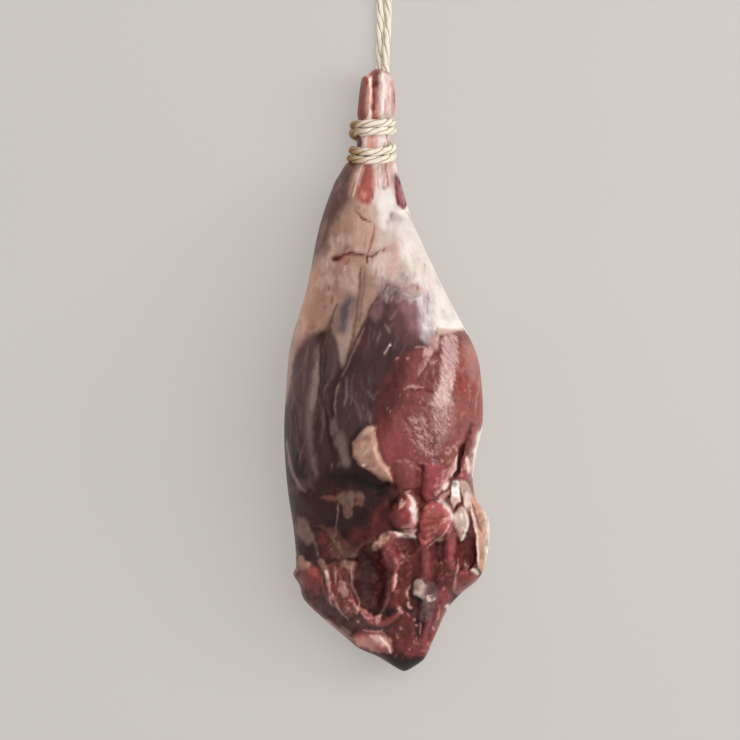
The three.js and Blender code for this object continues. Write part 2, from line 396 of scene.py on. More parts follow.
def catmullRom(points, stepsEach=16):
    # a centripetal curve through points, as the part's own tube follows
    points = [np.array(p, float) for p in points]
    points = [2 * points[0] - points[1], *points, 2 * points[-1] - points[-2]]
    line = []
    for a, b, c, d in zip(points, points[1:], points[2:], points[3:]):
        knots = np.cumsum([0] + [np.linalg.norm(q - p) ** 0.5 for p, q in ((a, b), (b, c), (c, d))])
        k0, k1, k2, k3 = knots
        for t in np.linspace(k1, k2, stepsEach, endpoint=False):
            ab = a * (k1 - t) / (k1 - k0) + b * (t - k0) / (k1 - k0)
            bc = b * (k2 - t) / (k2 - k1) + c * (t - k1) / (k2 - k1)
            cd = c * (k3 - t) / (k3 - k2) + d * (t - k2) / (k3 - k2)
            abc = ab * (k2 - t) / (k2 - k0) + bc * (t - k0) / (k2 - k0)
            bcd = bc * (k3 - t) / (k3 - k1) + cd * (t - k1) / (k3 - k1)
            line.append(abc * (k2 - t) / (k2 - k1) + bcd * (t - k1) / (k2 - k1))
    return np.array([*line, points[-2]])


def evenSteps(line, step):
    # the same line with points at even steps
    walked = np.concatenate([[0], np.cumsum(np.linalg.norm(np.diff(line, axis=0), axis=1))])
    places = np.linspace(0, walked[-1], int(walked[-1] / step) + 1)
    return np.stack([np.interp(places, walked, line[:, axis]) for axis in range(3)], axis=1)


def windingLine():
    turns = np.linspace(*twine["turns"], twine["windingPoints"])
    up, turn = windingHeight(turns), turns * 2 * math.pi
    x, z = section(up, turn)
    outX, outZ = outwards(up, turn)
    out = twine["diameter"] / millimetre / 2 + twine["toMeat"]
    line = np.stack([x + outX * out, up, z + outZ * out], axis=1) + legZero
    return line * millimetre


def loopLine():
    return catmullRom(loopRoute) + legZero * millimetre


def treeSockets(tree, given, made):
    tree.interface.new_socket(given[0], in_out="INPUT", socket_type="NodeSocketGeometry")
    for name, kind in given[1:]:
        tree.interface.new_socket(name, in_out="INPUT", socket_type="NodeSocket" + kind)
    tree.interface.new_socket(made, in_out="OUTPUT", socket_type="NodeSocketGeometry")


def twineTree():
    tree = bpy.data.node_groups.new("laidTwine", "GeometryNodeTree")
    treeSockets(tree, ["Route", ("Diameter", "Float"), ("Lay", "Float"), ("Groove", "Float"),
                       ("Looseness", "Float"), ("Sides", "Int"), ("Finish", "Material")], "Twine")
    shop = Shop(tree)
    given = shop.node("NodeGroupInput")
    along = shop.node("GeometryNodeSplineParameter", out="Length")
    tilt = along * (-2 * math.pi) / given.out("Lay")
    slack = shop.node("ShaderNodeTexNoise", {"noise_dimensions": "1D"},
                      {"W": along, "Scale": twine["changes"], "Detail": 1.0})
    tilt = tilt + (slack - 0.5) * given.out("Looseness")
    route = shop.node("GeometryNodeSetCurveTilt", {}, {"Curve": given.out("Route"), "Tilt": tilt})
    route = shop.node("GeometryNodeStoreNamedAttribute", {"data_type": "FLOAT"},
                      {"Geometry": route, "Name": "along", "Value": along})
    ring = shop.node("GeometryNodeCurvePrimitiveCircle", {},
                     {"Resolution": given.out("Sides"), "Radius": 1.0})
    place = shop.node("GeometryNodeInputPosition")
    parts = shop.node("ShaderNodeSeparateXYZ", {}, {0: place})
    angle = shop.maths("ARCTAN2", parts.out("Y"), parts.out("X"))
    lobes = shop.maths("ABSOLUTE", shop.maths("COSINE", angle * (twine["strands"] / 2)))
    reach = (1 - given.out("Groove") * (1 - lobes)) * given.out("Diameter") * 0.5
    ring = shop.node("GeometryNodeStoreNamedAttribute", {"data_type": "FLOAT_VECTOR"},
                     {"Geometry": ring, "Name": "ring", "Value": place})
    ring = shop.node("GeometryNodeStoreNamedAttribute", {"data_type": "FLOAT"},
                     {"Geometry": ring, "Name": "crest", "Value": lobes})
    spread = shop.node("ShaderNodeVectorMath", {"operation": "SCALE"}, {0: place, "Scale": reach})
    ring = shop.node("GeometryNodeSetPosition", {}, {"Geometry": ring, "Position": spread})
    tube = shop.node("GeometryNodeCurveToMesh", {},
                     {"Curve": route, "Profile Curve": ring, "Fill Caps": True})
    tube = shop.node("GeometryNodeRealizeInstances", {}, {0: tube})
    tube = shop.node("GeometryNodeSetMaterial", {},
                     {"Geometry": tube, "Material": given.out("Finish")})
    shop.node("NodeGroupOutput", {}, {0: tube})
    return tree


def hairTree():
    # loose fibres that stand off the twine
    tree = bpy.data.node_groups.new("looseFibres", "GeometryNodeTree")
    treeSockets(tree, ["Twine", ("Density", "Float"), ("Length", "Float"), ("Seed", "Int"),
                       ("Finish", "Material")], "Fibres")
    shop = Shop(tree)
    given = shop.node("NodeGroupInput")
    facing = shop.node("ShaderNodeSeparateXYZ", {}, {0: shop.node("GeometryNodeInputNormal")})
    upper = shop.maths("GREATER_THAN", facing.out("Z"), twine["hairFacing"])
    spots = shop.node("GeometryNodeDistributePointsOnFaces", {"distribute_method": "RANDOM"},
                      {"Mesh": given.out("Twine"), "Selection": upper,
                       "Density": given.out("Density"), "Seed": given.out("Seed")})
    # a bent hair, rooted a little inside the twine and about one unit long
    hair = shop.node("GeometryNodeCurvePrimitiveBezierSegment", {},
                     {"Resolution": 4, "Start": (0, 0, -0.2), "Start Handle": (0.1, 0, 0.15),
                      "End Handle": (0.55, 0.05, 0.3), "End": (1, 0.15, 0.28)})
    thin = shop.node("GeometryNodeCurvePrimitiveCircle", {},
                     {"Resolution": 3, "Radius": twine["hairThickness"]})
    hair = shop.node("GeometryNodeCurveToMesh", {},
                     {"Curve": hair, "Profile Curve": thin, "Fill Caps": True})
    turnBy = shop.node("FunctionNodeRandomValue", {"data_type": "FLOAT"},
                       {2: 0.0, 3: 2 * math.pi, "Seed": 3}, out=1)
    shortest, longest = twine["hairGrowth"]
    grow = shop.node("FunctionNodeRandomValue", {"data_type": "FLOAT"},
                     {2: shortest, 3: longest, "Seed": 4}, out=1)
    spun = shop.node("FunctionNodeRotateRotation", {"rotation_space": "LOCAL"},
                     {0: spots.out("Rotation"),
                      1: shop.node("ShaderNodeCombineXYZ", {}, {"Z": turnBy})})
    placed = shop.node("GeometryNodeInstanceOnPoints", {},
                       {"Points": spots, "Instance": hair, "Rotation": spun,
                        "Scale": grow * given.out("Length")})
    placed = shop.node("GeometryNodeRealizeInstances", {}, {0: placed})
    placed = shop.node("GeometryNodeSetMaterial", {},
                       {"Geometry": placed, "Material": given.out("Finish")})
    shop.node("NodeGroupOutput", {}, {0: placed})
    return tree


def grown(source, tree, sizes, name):
    # runs a Geometry Nodes tree on an object and keeps the result as a plain mesh
    modifier = source.modifiers.new("grow", "NODES")
    modifier.node_group = tree
    for item in tree.interface.items_tree:
        if item.in_out == "INPUT" and item.name in sizes:
            modifier[item.identifier] = sizes[item.name]
    bpy.context.view_layer.update()
    depsgraph = bpy.context.evaluated_depsgraph_get()
    mesh = bpy.data.meshes.new_from_object(source.evaluated_get(depsgraph))
    source.modifiers.remove(modifier)
    mesh.name = name
    return newObject(name, mesh)


def curveObject(line):
    data = bpy.data.curves.new("route", "CURVE")
    data.dimensions = "3D"
    spline = data.splines.new("POLY")
    spline.points.add(len(line) - 1)
    for point, place in zip(spline.points, line):
        point.co = (*place, 1)
    return newObject("route", data)


def twineFinish():
    material, shop = newFinish("sisalFibres")
    look = twineLook
    ring = shop.attribute("ring", "Vector")
    along, crest = shop.attribute("along"), shop.attribute("crest")
    lengthways = shop.node("ShaderNodeCombineXYZ", {}, {"Z": along * look["unitsAlong"]})
    place = shop.node("ShaderNodeVectorMath", {"operation": "ADD"}, {0: ring, 1: lengthways})
    fibre = shop.noise(place, look["fibreSize"], detail=4, stretch=look["fibreStretch"])
    patch = shop.noise(place, look["patchSize"], detail=2)
    light = shop.mix(shop.between(fibre, *look["fibreContrast"]), solid(look["dark"]), solid(look["light"]))
    patches = shop.between(patch, *look["patchContrast"]) * look["patchStrength"]
    light = shop.mix(patches, light, solid(look["dark"]))
    # painted shade in the grooves where the strands meet
    colour = shop.mix(shop.between(crest, 0.0, look["grooveEdge"]), solid(look["deep"]), light)
    # painted shade: browner towards the twine's left, where it turns away from the light
    left = shop.node("ShaderNodeSeparateXYZ", {}, {0: shop.objectPlace()}) * -1
    brown = shop.between(left + (patch - 0.5) * look["leftShadeWander"], *look["leftShadeSpan"])
    colour = shop.mix(brown, colour, solid(look["leftShadeTone"]), "MULTIPLY")
    bump = shop.node("ShaderNodeBump", {},
                     {"Strength": 1.0, "Distance": look["bumpHeight"], "Height": fibre})
    closeFinish(shop, {"Base Color": colour, "Roughness": look["roughness"],
                       "Specular IOR Level": look["shine"]}, bump)
    return material


def hairFinish():
    material, shop = newFinish("sisalHair")
    shade = shop.noise(shop.objectPlace(), twineLook["hairPatch"], detail=1)
    colour = shop.mix(shade, solid(twineLook["dark"]), solid(twineLook["light"]))
    closeFinish(shop, {"Base Color": colour, "Roughness": twineLook["hairRoughness"],
                       "Specular IOR Level": twineLook["shine"]})
    return material


def makeTwine(name, line, diameter, lay, seed):
    route = curveObject(evenSteps(line, twine["step"]))
    piece = grown(route, laidTwine, {
        "Diameter": diameter, "Lay": lay, "Groove": twine["groove"],
        "Looseness": twine["looseness"], "Sides": twine["sides"], "Finish": sisalFibres}, name)
    bpy.data.objects.remove(route)
    for polygon in piece.data.polygons:
        polygon.use_smooth = True
    fibres = grown(piece, looseFibres, {
        "Density": twine["hairs"], "Length": twine["hairLength"], "Seed": seed,
        "Finish": sisalHair}, name + "Fibres")
    for made in (piece, fibres):
        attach(made, "root")
    return piece, fibres


laidTwine, looseFibres = twineTree(), hairTree()
sisalFibres, sisalHair = twineFinish(), hairFinish()
hangingTwine, hangingFibres = makeTwine(
    "hangingTwine", loopLine(), twine["diameter"], twine["lay"], 5)
windingTwine, _ = makeTwine(
    "windingTwine", windingLine(), twine["pulledDiameter"], twine["pulledLay"], 8)
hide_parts("twine_loop")
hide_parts("twine_winding")


# the leg's skin: what is painted on it, and how high each place stands
meatLeg = {
    "rows": [(10, 160, 174), (160, 300, 120), (300, 362, 42), (362, 453.7, 42)],
    "tipRows": 12, "endRows": 8,
    "frontColumns": 220, "backColumns": 24,
    "sideCrowding": 0.45,     # 0 spaces the front's columns by angle, 1 by width
    "swell": 0.4,             # how far the meat bulges round the twine
    "wander": (0.5, 0.65),    # how far outlines stray, at the shank and at the torn end
    "wanderSize": 6, "wanderChange": (120, 200),
    "sideWander": 7, "sideWanderSize": 9,  # the same down the steep sides, so they don't run straight
    "steepBelow": 0.3,        # the sine of the turn where a side counts as steep
    "shownBelow": (-0.32, 0.04),  # between these sines the shown colours give way to the back's
    "ragged": ((0.2, 9), (0.07, 4)),  # how much that edge wanders, and the size of its bends
    "facing": (0.05, 0.4),    # between these sines the relief rises from the plain sides
    "allRound": 0.49,         # the share of light that comes from everywhere
    # each lamp's direction across and up, and its share of the light on level ground
    "lamps": [((0.45, 0.89), 0.39), ((0.86, 0.50), 0.12)],
    "veil": 0.015,            # what the wet surface mirrors of the room
    "leastColour": 0.35,      # the share of a tone that stays under the veil
    "brightest": 0.92,
    "creviceReach": 4, "creviceDepth": 0.9,  # points on each side, and millimetres
    "creviceShade": (0.34, 0.16),  # how much the painted shade darkens crevices and the painted light lightens crests
    "slopeShade": 0.22, "slopeAcross": -0.8, "slopeAlong": -0.5,  # the side lamp's
}

# unevenness too small for the solid, in millimetres
fineForm = {
    "crags": 1.1,             # the part's solid has these too
    "cragsEnd": (120, 165),
    "torn": 0.7, "tornEnd": (125, 150), "tornLean": 0.25,
    "tatterSize": 5.5, "creaseSize": 3.2, "creases": 0.6,
    "wrinkles": 0.22, "wrinkleSize": 2.0, "cutEnd": (240, 256), "cutEdge": (-8, 6), "cutMiddle": 200,
    "swellings": 0.28, "swellingSize": 5.0, "swellingLength": 4,
}

# how the colours are put on
brush = {
    "wispSize": 2.4, "wisps": (0.3, 0.4),  # everywhere, and what the torn end has more
    "areaRagged": 0.75, "sheenRagged": 0.4,  # how ragged the edges are, as shares of their softness
    "speckleSize": 2.6, "speckledWidth": 0.25, "speckledStrength": 0.14,
    "thinnest": 0.65, "thinStrength": 0.4,
    "endWidth": 0.35, "endPart": 5,  # a stroke narrows to this share over a fifth of its length
    # scattered touches: how much they bend, stray in direction (degrees), and vary in size
    "bend": 0.3, "stray": 14, "grow": (0.5, 1.4), "weakest": 0.4,
}

# each tone: colour as it looks in the light, how wet it is, how strongly it is mottled
tones = {
    "creamFat": ("#f6eee6", 0.4, 0.12), "whiteFat": ("#f3eae6", 0.5, 0.08),
    "paleFat": ("#cfb9ae", 0.4, 0.2), "tanFat": ("#a08070", 0.4, 0.25),
    "warmFat": ("#a57f6d", 0.4, 0.25), "brownFat": ("#8a675d", 0.4, 0.25),
    "greyFat": ("#b9a7a1", 0.45, 0.2), "oldFat": ("#6b554c", 0.4, 0.5),
    "shadeFat": ("#745d58", 0.4, 0.25), "legShade": ("#543d39", 0.45, 0.3),
    "edgeFat": ("#9b7f70", 0.4, 0.2), "pinkFat": ("#cfa497", 0.45, 0.2),
    "lavender": ("#e4d6d8", 0.6, 0.12), "mist": ("#8a7273", 0.5, 0.25),
    "mauve": ("#967074", 0.5, 0.35), "plum": ("#6f4a4c", 0.5, 0.3),
    "membrane": ("#4b3838", 0.5, 0.22), "greyOval": ("#544a4e", 0.4, 0.15),
    "beige": ("#8f7c74", 0.45, 0.2), "dimBeige": ("#7a6863", 0.45, 0.2),
    "brownLine": ("#5c4238", 0.35, 0.1), "darkMuscle": ("#4d3b3b", 0.5, 0.2),
    "deepMuscle": ("#3d2d2d", 0.5, 0.2), "redMeat": ("#824846", 0.7, 0.6),
    "brightMeat": ("#964541", 0.7, 0.4), "darkRed": ("#6a3635", 0.6, 0.7),
    "midRed": ("#7f4443", 0.7, 0.8), "darkMeat": ("#3c2928", 0.5, 0.4),
    # deepMeat and hole also serve as painted shade: along creases and slits, in holes, and under lips and
    # flaps
    "deepMeat": ("#352524", 0.4, 0.35), "hole": ("#573230", 0.4, 0.3),
    # painted highlights on wet meat: broad ones, and small glints
    "glossHighlight": ("#c9a09d", 0.9, 0.4), "glint": ("#a8706b", 1.0, 0.2),
    "whitePink": ("#f0d4cc", 0.8, 0.15), "palePink": ("#cf9c92", 0.7, 0.25),
    "flapFat": ("#9c7868", 0.45, 0.5), "flapLight": ("#b99a8c", 0.5, 0.35),
    "lipFat": ("#cda294", 0.5, 0.4), "rightFlap": ("#cc9c84", 0.4, 0.5),
    "rightFlapLight": ("#f3e5d9", 0.4, 0.2), "fatBits": ("#c3a596", 0.5, 0.4),
    "marbled": ("#6c3c3a", 0.7, 0.8), "stripFat": ("#b88680", 0.7, 0.4),
    "paleStrip": ("#987069", 0.7, 0.5), "rimBrown": ("#64423a", 0.5, 0.5),
    "rimTan": ("#86655a", 0.5, 0.4), "rimLight": ("#8f6c62", 0.6, 0.3),
    "tipFat": ("#b0726a", 0.6, 0.4), "tipRed": ("#8d4c47", 0.7, 0.5),
    "pearl": ("#cdb3a7", 0.6, 0.2), "greyTissue": ("#785a58", 0.7, 0.5),
    "lobeRed": ("#924649", 0.8, 0.6), "lipRed": ("#9a5a54", 0.7, 0.5),
    "shankPale": ("#f3e1dc", 0.5, 0.12), "tendon": ("#fdece7", 0.6, 0.08),
    "shankRed": ("#d89484", 0.6, 0.3), "stripRed": ("#984c42", 0.6, 0.3),
    "lobe": ("#7f4f46", 0.6, 0.3), "lobeLight": ("#ad8374", 0.6, 0.2),
    "plumGrey": ("#56403f", 0.5, 0.25), "shinRed": ("#a65850", 0.6, 0.5),
    # clot also serves as painted shade, laid along creases and folds and under the twine
    "clotAndShade": ("#6b3632", 0.6, 0.3), "clotDark": ("#6b251d", 0.6, 0.3),
    "vein": ("#855046", 0.5, 0.2), "pocket": ("#a0505a", 0.8, 0.4),
    "pocketHighlight": ("#b88a8d", 0.8, 0.3), "strand": ("#b86e6a", 0.8, 0.3),
    "knobPink": ("#bc7f7a", 0.9, 0.2), "knobRed": ("#7d3536", 0.9, 0.2),
    "knobWhiteHighlight": ("#f5dedf", 1.0, 0.05), "nubRed": ("#a54f4e", 0.8, 0.5),
    "cavityDark": ("#5c4140", 0.5, 0.4), "cavityRed": ("#855250", 0.6, 0.5),
    "recessRed": ("#783e3d", 0.6, 0.4), "underKnob": ("#945a57", 0.6, 0.4),
    "pinkTan": ("#c09c8e", 0.4, 0.2), "pinkLight": ("#e6bdb4", 0.6, 0.1),
    "edgeShade": ("#281d1d", 0.5, 0.2), "backFat": ("#e3cfc0", 0.4, 0.2), "backPink": ("#c9978a", 0.5, 0.3),
}


def ridge(height, width, path):
    # along a path, or a groove where the height is negative
    def lift(skin):
        where = skin.near(path, 3 * width)
        gap, _ = distanceTo(np.array(path, float), skin.x[where], skin.up[where])
        return where, height * np.exp(-(gap / width) ** 2)
    return lift


def lump(height, x0, up0, wide, tall):
    # round, or a hollow
    def lift(skin):
        where = skin.near([(x0 - wide, up0 - tall), (x0 + wide, up0 + tall)], 0)
        r = np.hypot((skin.x[where] - x0) / wide, (skin.up[where] - up0) / tall)
        return where, height * np.maximum(0, 1 - r * r) ** 0.75
    return lift


def layer(height, edge, outline):
    # a raised sheet with a soft edge
    def lift(skin):
        where = skin.near(outline, edge)
        depth = depthIn(np.array(outline, float), skin.x[where], skin.up[where])
        return where, height * smooth(-edge, edge, depth)
    return lift


legRelief = [
    ridge(-3.5, 2.6, [(-10, 462), (-10, 445), (-11, 430)]),  # between the shank's lobes
    ridge(1.4, 3, [(-3.5, 456), (-3.5, 428)]),
    ridge(1, 2.5, [(-14.5, 452), (-15.5, 430)]),
    ridge(1.8, 6, [(-13, 382), (-16, 370), (-20, 358)]),  # the shin muscle's end
    ridge(-5, 4.5, [(8, 376), (10, 366), (11, 357)]),  # slit pocket beside the tendon
    ridge(2, 3, [(7, 385), (13, 376), (17, 364), (18, 352)]),  # its outer lip
    ridge(-1, 5, [(-36, 320), (-20, 315), (0, 322)]),
    ridge(-2.2, 7, [(0, 293), (-15, 270), (-25, 250), (-34, 228), (-40, 205), (-43, 180), (-41, 158)]),
    ridge(-1.2, 6, [(-18, 303), (-20, 275), (-26, 252), (-32, 235)]),
    ridge(2.5, 9, [(-64, 250), (-68, 225), (-69, 195), (-66, 165)]),  # outer muscle
    ridge(2, 6, [(-45, 250), (-48, 225), (-52, 195), (-50, 165)]),  # the muscle beside it
    ridge(-2, 5, [(-50, 255), (-54, 222), (-61, 190), (-58, 165), (-52, 140)]),
    ridge(3, 18, [(-18, 245), (-26, 215), (-27, 190)]),  # muscle under its membrane
    ridge(2.6, 6, [(20, 263), (33, 265), (46, 262), (60, 264), (68, 260)]),  # fat cap's edge
    ridge(-1.8, 6, [(30, 252), (46, 250), (62, 252)]),
    layer(4, 2.5, [(-27, 175), (-20, 183), (-17, 188), (-10, 188), (-9, 172), (-4, 160),
                   (3, 152), (3, 146), (-5, 149), (-20, 158), (-26, 166)]),  # flap of fat
    ridge(-5, 6, [(-42, 148), (-28, 147), (-8, 140), (4, 141)]),  # shade under the flap
    lump(4, 14, 149, 13, 13),
    lump(4, 35, 145, 12, 18),
    ridge(-3, 4, [(25, 155), (24, 133)]),
    ridge(-4, 3, [(63, 188), (60, 178), (54, 165), (52, 152), (49, 144)]),  # split
    ridge(3, 4.5, [(62, 180), (60, 163), (58, 147)]),
    lump(10, 13.5, 122, 12.5, 15),  # the knob of tendon
    lump(8, 37, 115, 14, 16),  # the ribbed lump beside it
    lump(-6.5, 13.5, 98, 11, 8),  # hole under the knob
    ridge(3.5, 4, [(-12, 94), (-4, 98), (3, 105)]),  # lip of fat
    lump(-17, -13, 71, 14, 29),  # the open middle, where the bone was
    lump(7, 1, 91, 7, 12),
    ridge(6, 3.2, [(6.5, 84), (5, 74), (5, 62)]),  # strand that hangs across
    ridge(5, 5.5, [(27, 104), (27, 72)]),
    ridge(4, 5, [(46, 110), (46, 82)]),
    ridge(-3, 3.5, [(36, 104), (35, 70)]),
    lump(-7, 59, 92, 9, 16),  # recess behind the right flap
    ridge(3.5, 6, [(67, 128), (71, 112), (71, 98), (69, 82)]),  # the flap of skin fat
    ridge(2.5, 5, [(54, 142), (58, 122), (52, 108)]),
    lump(3, -35, 123, 32, 15),  # dark muscle on the left
    lump(2.5, -60, 109, 9, 12),
    lump(3.5, -39, 62, 16, 19),  # marbled meat
    lump(3, -58, 70, 9, 13),
    ridge(-2.4, 4.5, [(-58, 62), (-48, 53), (-38, 45), (-27, 36), (-21, 30)]),  # inside the rim
    ridge(5, 5, [(-20, 49), (-13, 39), (-2, 36), (8, 44)]),  # the crescent
    ridge(-4, 4, [(18, 64), (24, 55), (26, 44), (24, 30)]),
    lump(3.5, 25, 62, 8, 12),
    lump(3, -9, 24, 14, 9),  # pearly fat near the tip
]


def crags(x, up):
    # the cut and torn end is uneven all over
    waves = np.sin(x / 4.7 + 2.1 * np.sin(up / 11)) * np.sin(up / 5.3 + 1.7 * np.sin(x / 9))
    return fineForm["crags"] * waves * (1 - smooth(*fineForm["cragsEnd"], up))


def fineRelief(x, up):
    # torn meat, wrinkles on the cut, and long soft swellings
    form = fineForm
    torn = 1 - smooth(*form["tornEnd"], up - form["tornLean"] * x)
    creases = np.abs(unevenness(x, up, form["creaseSize"], 64, 2))
    tatters = unevenness(x, up, form["tatterSize"], 61) - form["creases"] * creases
    cut = smooth(*form["cutEdge"], x + form["tornLean"] * (up - form["cutMiddle"]))
    cut = cut * (1 - smooth(*form["cutEnd"], up)) * (1 - torn)
    # the wrinkles lean by 30 degrees, and are longer that way
    wrinkles = unevenness(x * 0.87 + up * 0.5, up * 0.3 - x * 0.5, form["wrinkleSize"], 67, 2)
    swellings = unevenness(x, up / form["swellingLength"], form["swellingSize"], 71, 2)
    relief = form["torn"] * torn * tatters + form["wrinkles"] * cut * wrinkles
    return relief + form["swellings"] * (1 - torn) * swellings


class Skin:
    # the leg's front as loose points, each with its place, height, colour and finish
    def __init__(self, x, up):
        torn = 1 - smooth(*meatLeg["wanderChange"], up)
        low, high = meatLeg["wander"]
        stray = low + (high - low) * torn
        wisps, tornWisps = brush["wisps"]
        self.x = x + stray * unevenness(x, up, meatLeg["wanderSize"], 11)
        self.up = up + stray * unevenness(x, up, meatLeg["wanderSize"], 21)
        self.height = crags(x, up) + fineRelief(x, up)
        # long along the leg
        self.wisps = unevenness(x, up * 0.45, brush["wispSize"], 31) * (wisps + tornWisps * torn)
        self.speckle = unevenness(x, up, brush["speckleSize"], 41)
        self.colour = np.zeros((x.size, 3))
        self.wet, self.grain, self.sheen = (np.zeros(x.size) for _ in range(3))

    def near(self, points, margin):
        points = np.array(points, float)
        low, high = points.min(axis=0) - margin, points.max(axis=0) + margin
        across = (self.x > low[0]) & (self.x < high[0])
        return np.nonzero(across & (self.up > low[1]) & (self.up < high[1]))[0]

    def raiseBy(self, where, height):
        self.height[where] += height

    def put(self, where, mask, name, lift):
        colour, wet, grain = tones[name]
        self.colour[where] += mask[:, None] * (np.array(tone(colour)) - self.colour[where])
        self.wet[where] += mask * (wet - self.wet[where])
        self.grain[where] += mask * (grain - self.grain[where])
        self.height[where] += mask * lift

    def wrinkled(self, edge, outline, strength):
        # painted reflection: where the wet cut face mirrors the light in fine slanting lines
        outline = evenOut(outline, closed=True)
        where = self.near(outline, edge)
        depth = depthIn(outline, self.x[where], self.up[where])
        depth = depth + brush["sheenRagged"] * edge * self.wisps[where]
        self.sheen[where] = np.maximum(self.sheen[where], strength * smooth(-edge, edge, depth))

    def area(self, name, edge, outline, strength=1.0, lift=0.0):
        # a wash of colour; the softer its edge, the more ragged
        outline = evenOut(outline, closed=True)
        where = self.near(outline, 1.6 * edge)
        depth = depthIn(outline, self.x[where], self.up[where])
        depth = depth + brush["areaRagged"] * edge * self.wisps[where]
        self.put(where, strength * smooth(-edge, edge, depth), name, lift)

    def stroke(self, name, width, path, strength=1.0, lift=0.0):
        # one touch of a brush, thinner at both ends
        path = evenOut(path)
        strength, width = strength * min(1, brush["thinStrength"] + width), max(width, brush["thinnest"])
        where = self.near(path, 3 * width)
        gap, along = distanceTo(path, self.x[where], self.up[where])
        fromEnd = np.minimum(1, brush["endPart"] * np.minimum(along, 1 - along))
        wide = width * (brush["endWidth"] + (1 - brush["endWidth"]) * fromEnd)
        wide = wide * (1 + brush["speckledWidth"] * self.speckle[where])
        patchy = clamp01(strength * (1 + brush["speckledStrength"] * self.speckle[where]))
        self.put(where, patchy / (1 + (gap / wide) ** 4), name, lift)

    def spot(self, name, x0, up0, wide, tall, strength=1.0, lift=0.0):
        where = self.near([(x0 - wide, up0 - tall), (x0 + wide, up0 + tall)], 2 * max(wide, tall))
        r = np.hypot((self.x[where] - x0) / wide, (self.up[where] - up0) / tall)
        self.put(where, strength / (1 + r ** 4), name, lift)

    def scatter(self, name, count, size, slope, outline, seed, strength=0.7, lift=0.15):
        # many short touches inside an outline: size is (width, length), slope in degrees
        draw = np.random.default_rng(seed)
        outline = np.array(outline, float)
        low, high = outline.min(axis=0), outline.max(axis=0)
        while count > 0:
            place = draw.uniform(low, high)
            bend = draw.uniform(-brush["bend"], brush["bend"])
            turn, grow = draw.normal(0, brush["stray"]), draw.uniform(*brush["grow"])
            if insideOf(outline, place[:1], place[1:])[0]:
                angle = math.radians(slope + turn)
                run = np.array([math.cos(angle), math.sin(angle)]) * size[1] * grow / 2
                aside = np.array([-run[1], run[0]]) * bend
                self.stroke(name, size[0] * grow, [place - run, place + aside, place + run],
                            strength * draw.uniform(brush["weakest"], 1), lift)
                count -= 1


def paintGround(skin):
    # the large fields of colour that the rest is painted over
    skin.area("darkMeat", 1, [(-99, -9), (99, -9), (99, 480), (-99, 480)])
    skin.area("shankPale", 3, [(-40, 380), (30, 380), (30, 480), (-40, 480)])
    skin.area("tanFat", 4, [
        (-95, 225), (-72, 244), (-58, 256), (-48, 262), (-43, 258), (-36, 232), (-28, 240),
        (-22, 256), (-12, 276), (-4, 290), (2, 294), (14, 291), (19, 283), (28, 285), (33, 289),
        (35, 278), (33, 262), (40, 258), (58, 260), (66, 262), (95, 262), (95, 392), (-95, 392)])
    skin.area("paleFat", 6, [
        (-20, 352), (-13, 340), (-12, 325), (-13, 308), (-8, 298), (2, 294), (20, 290), (36, 289),
        (36, 262), (58, 260), (95, 262), (95, 400), (-18, 400), (-14, 370)])
    skin.area("creamFat", 8, [
        (4, 338), (10, 362), (40, 350), (95, 300), (95, 262), (66, 262), (58, 260), (42, 259),
        (36, 263), (36, 286), (26, 293), (18, 302), (12, 315)])
    skin.area("creamFat", 3, [(37, 290), (60, 290), (95, 270), (66, 261), (58, 260), (42, 260), (37, 264)])
    skin.area("redMeat", 4, [
        (31, 258), (40, 256), (45, 256.5), (52, 258.5), (60, 259.4), (70, 262), (95, 262), (95, 200),
        (95, 120), (50, 120), (26, 122), (4, 136), (2, 148), (-3, 158), (-8, 170),
        (-9, 188), (-8, 200), (-6, 212), (-2, 222), (3, 231), (8, 238), (14, 243), (21, 246.6),
        (30, 247.6), (31, 252)])


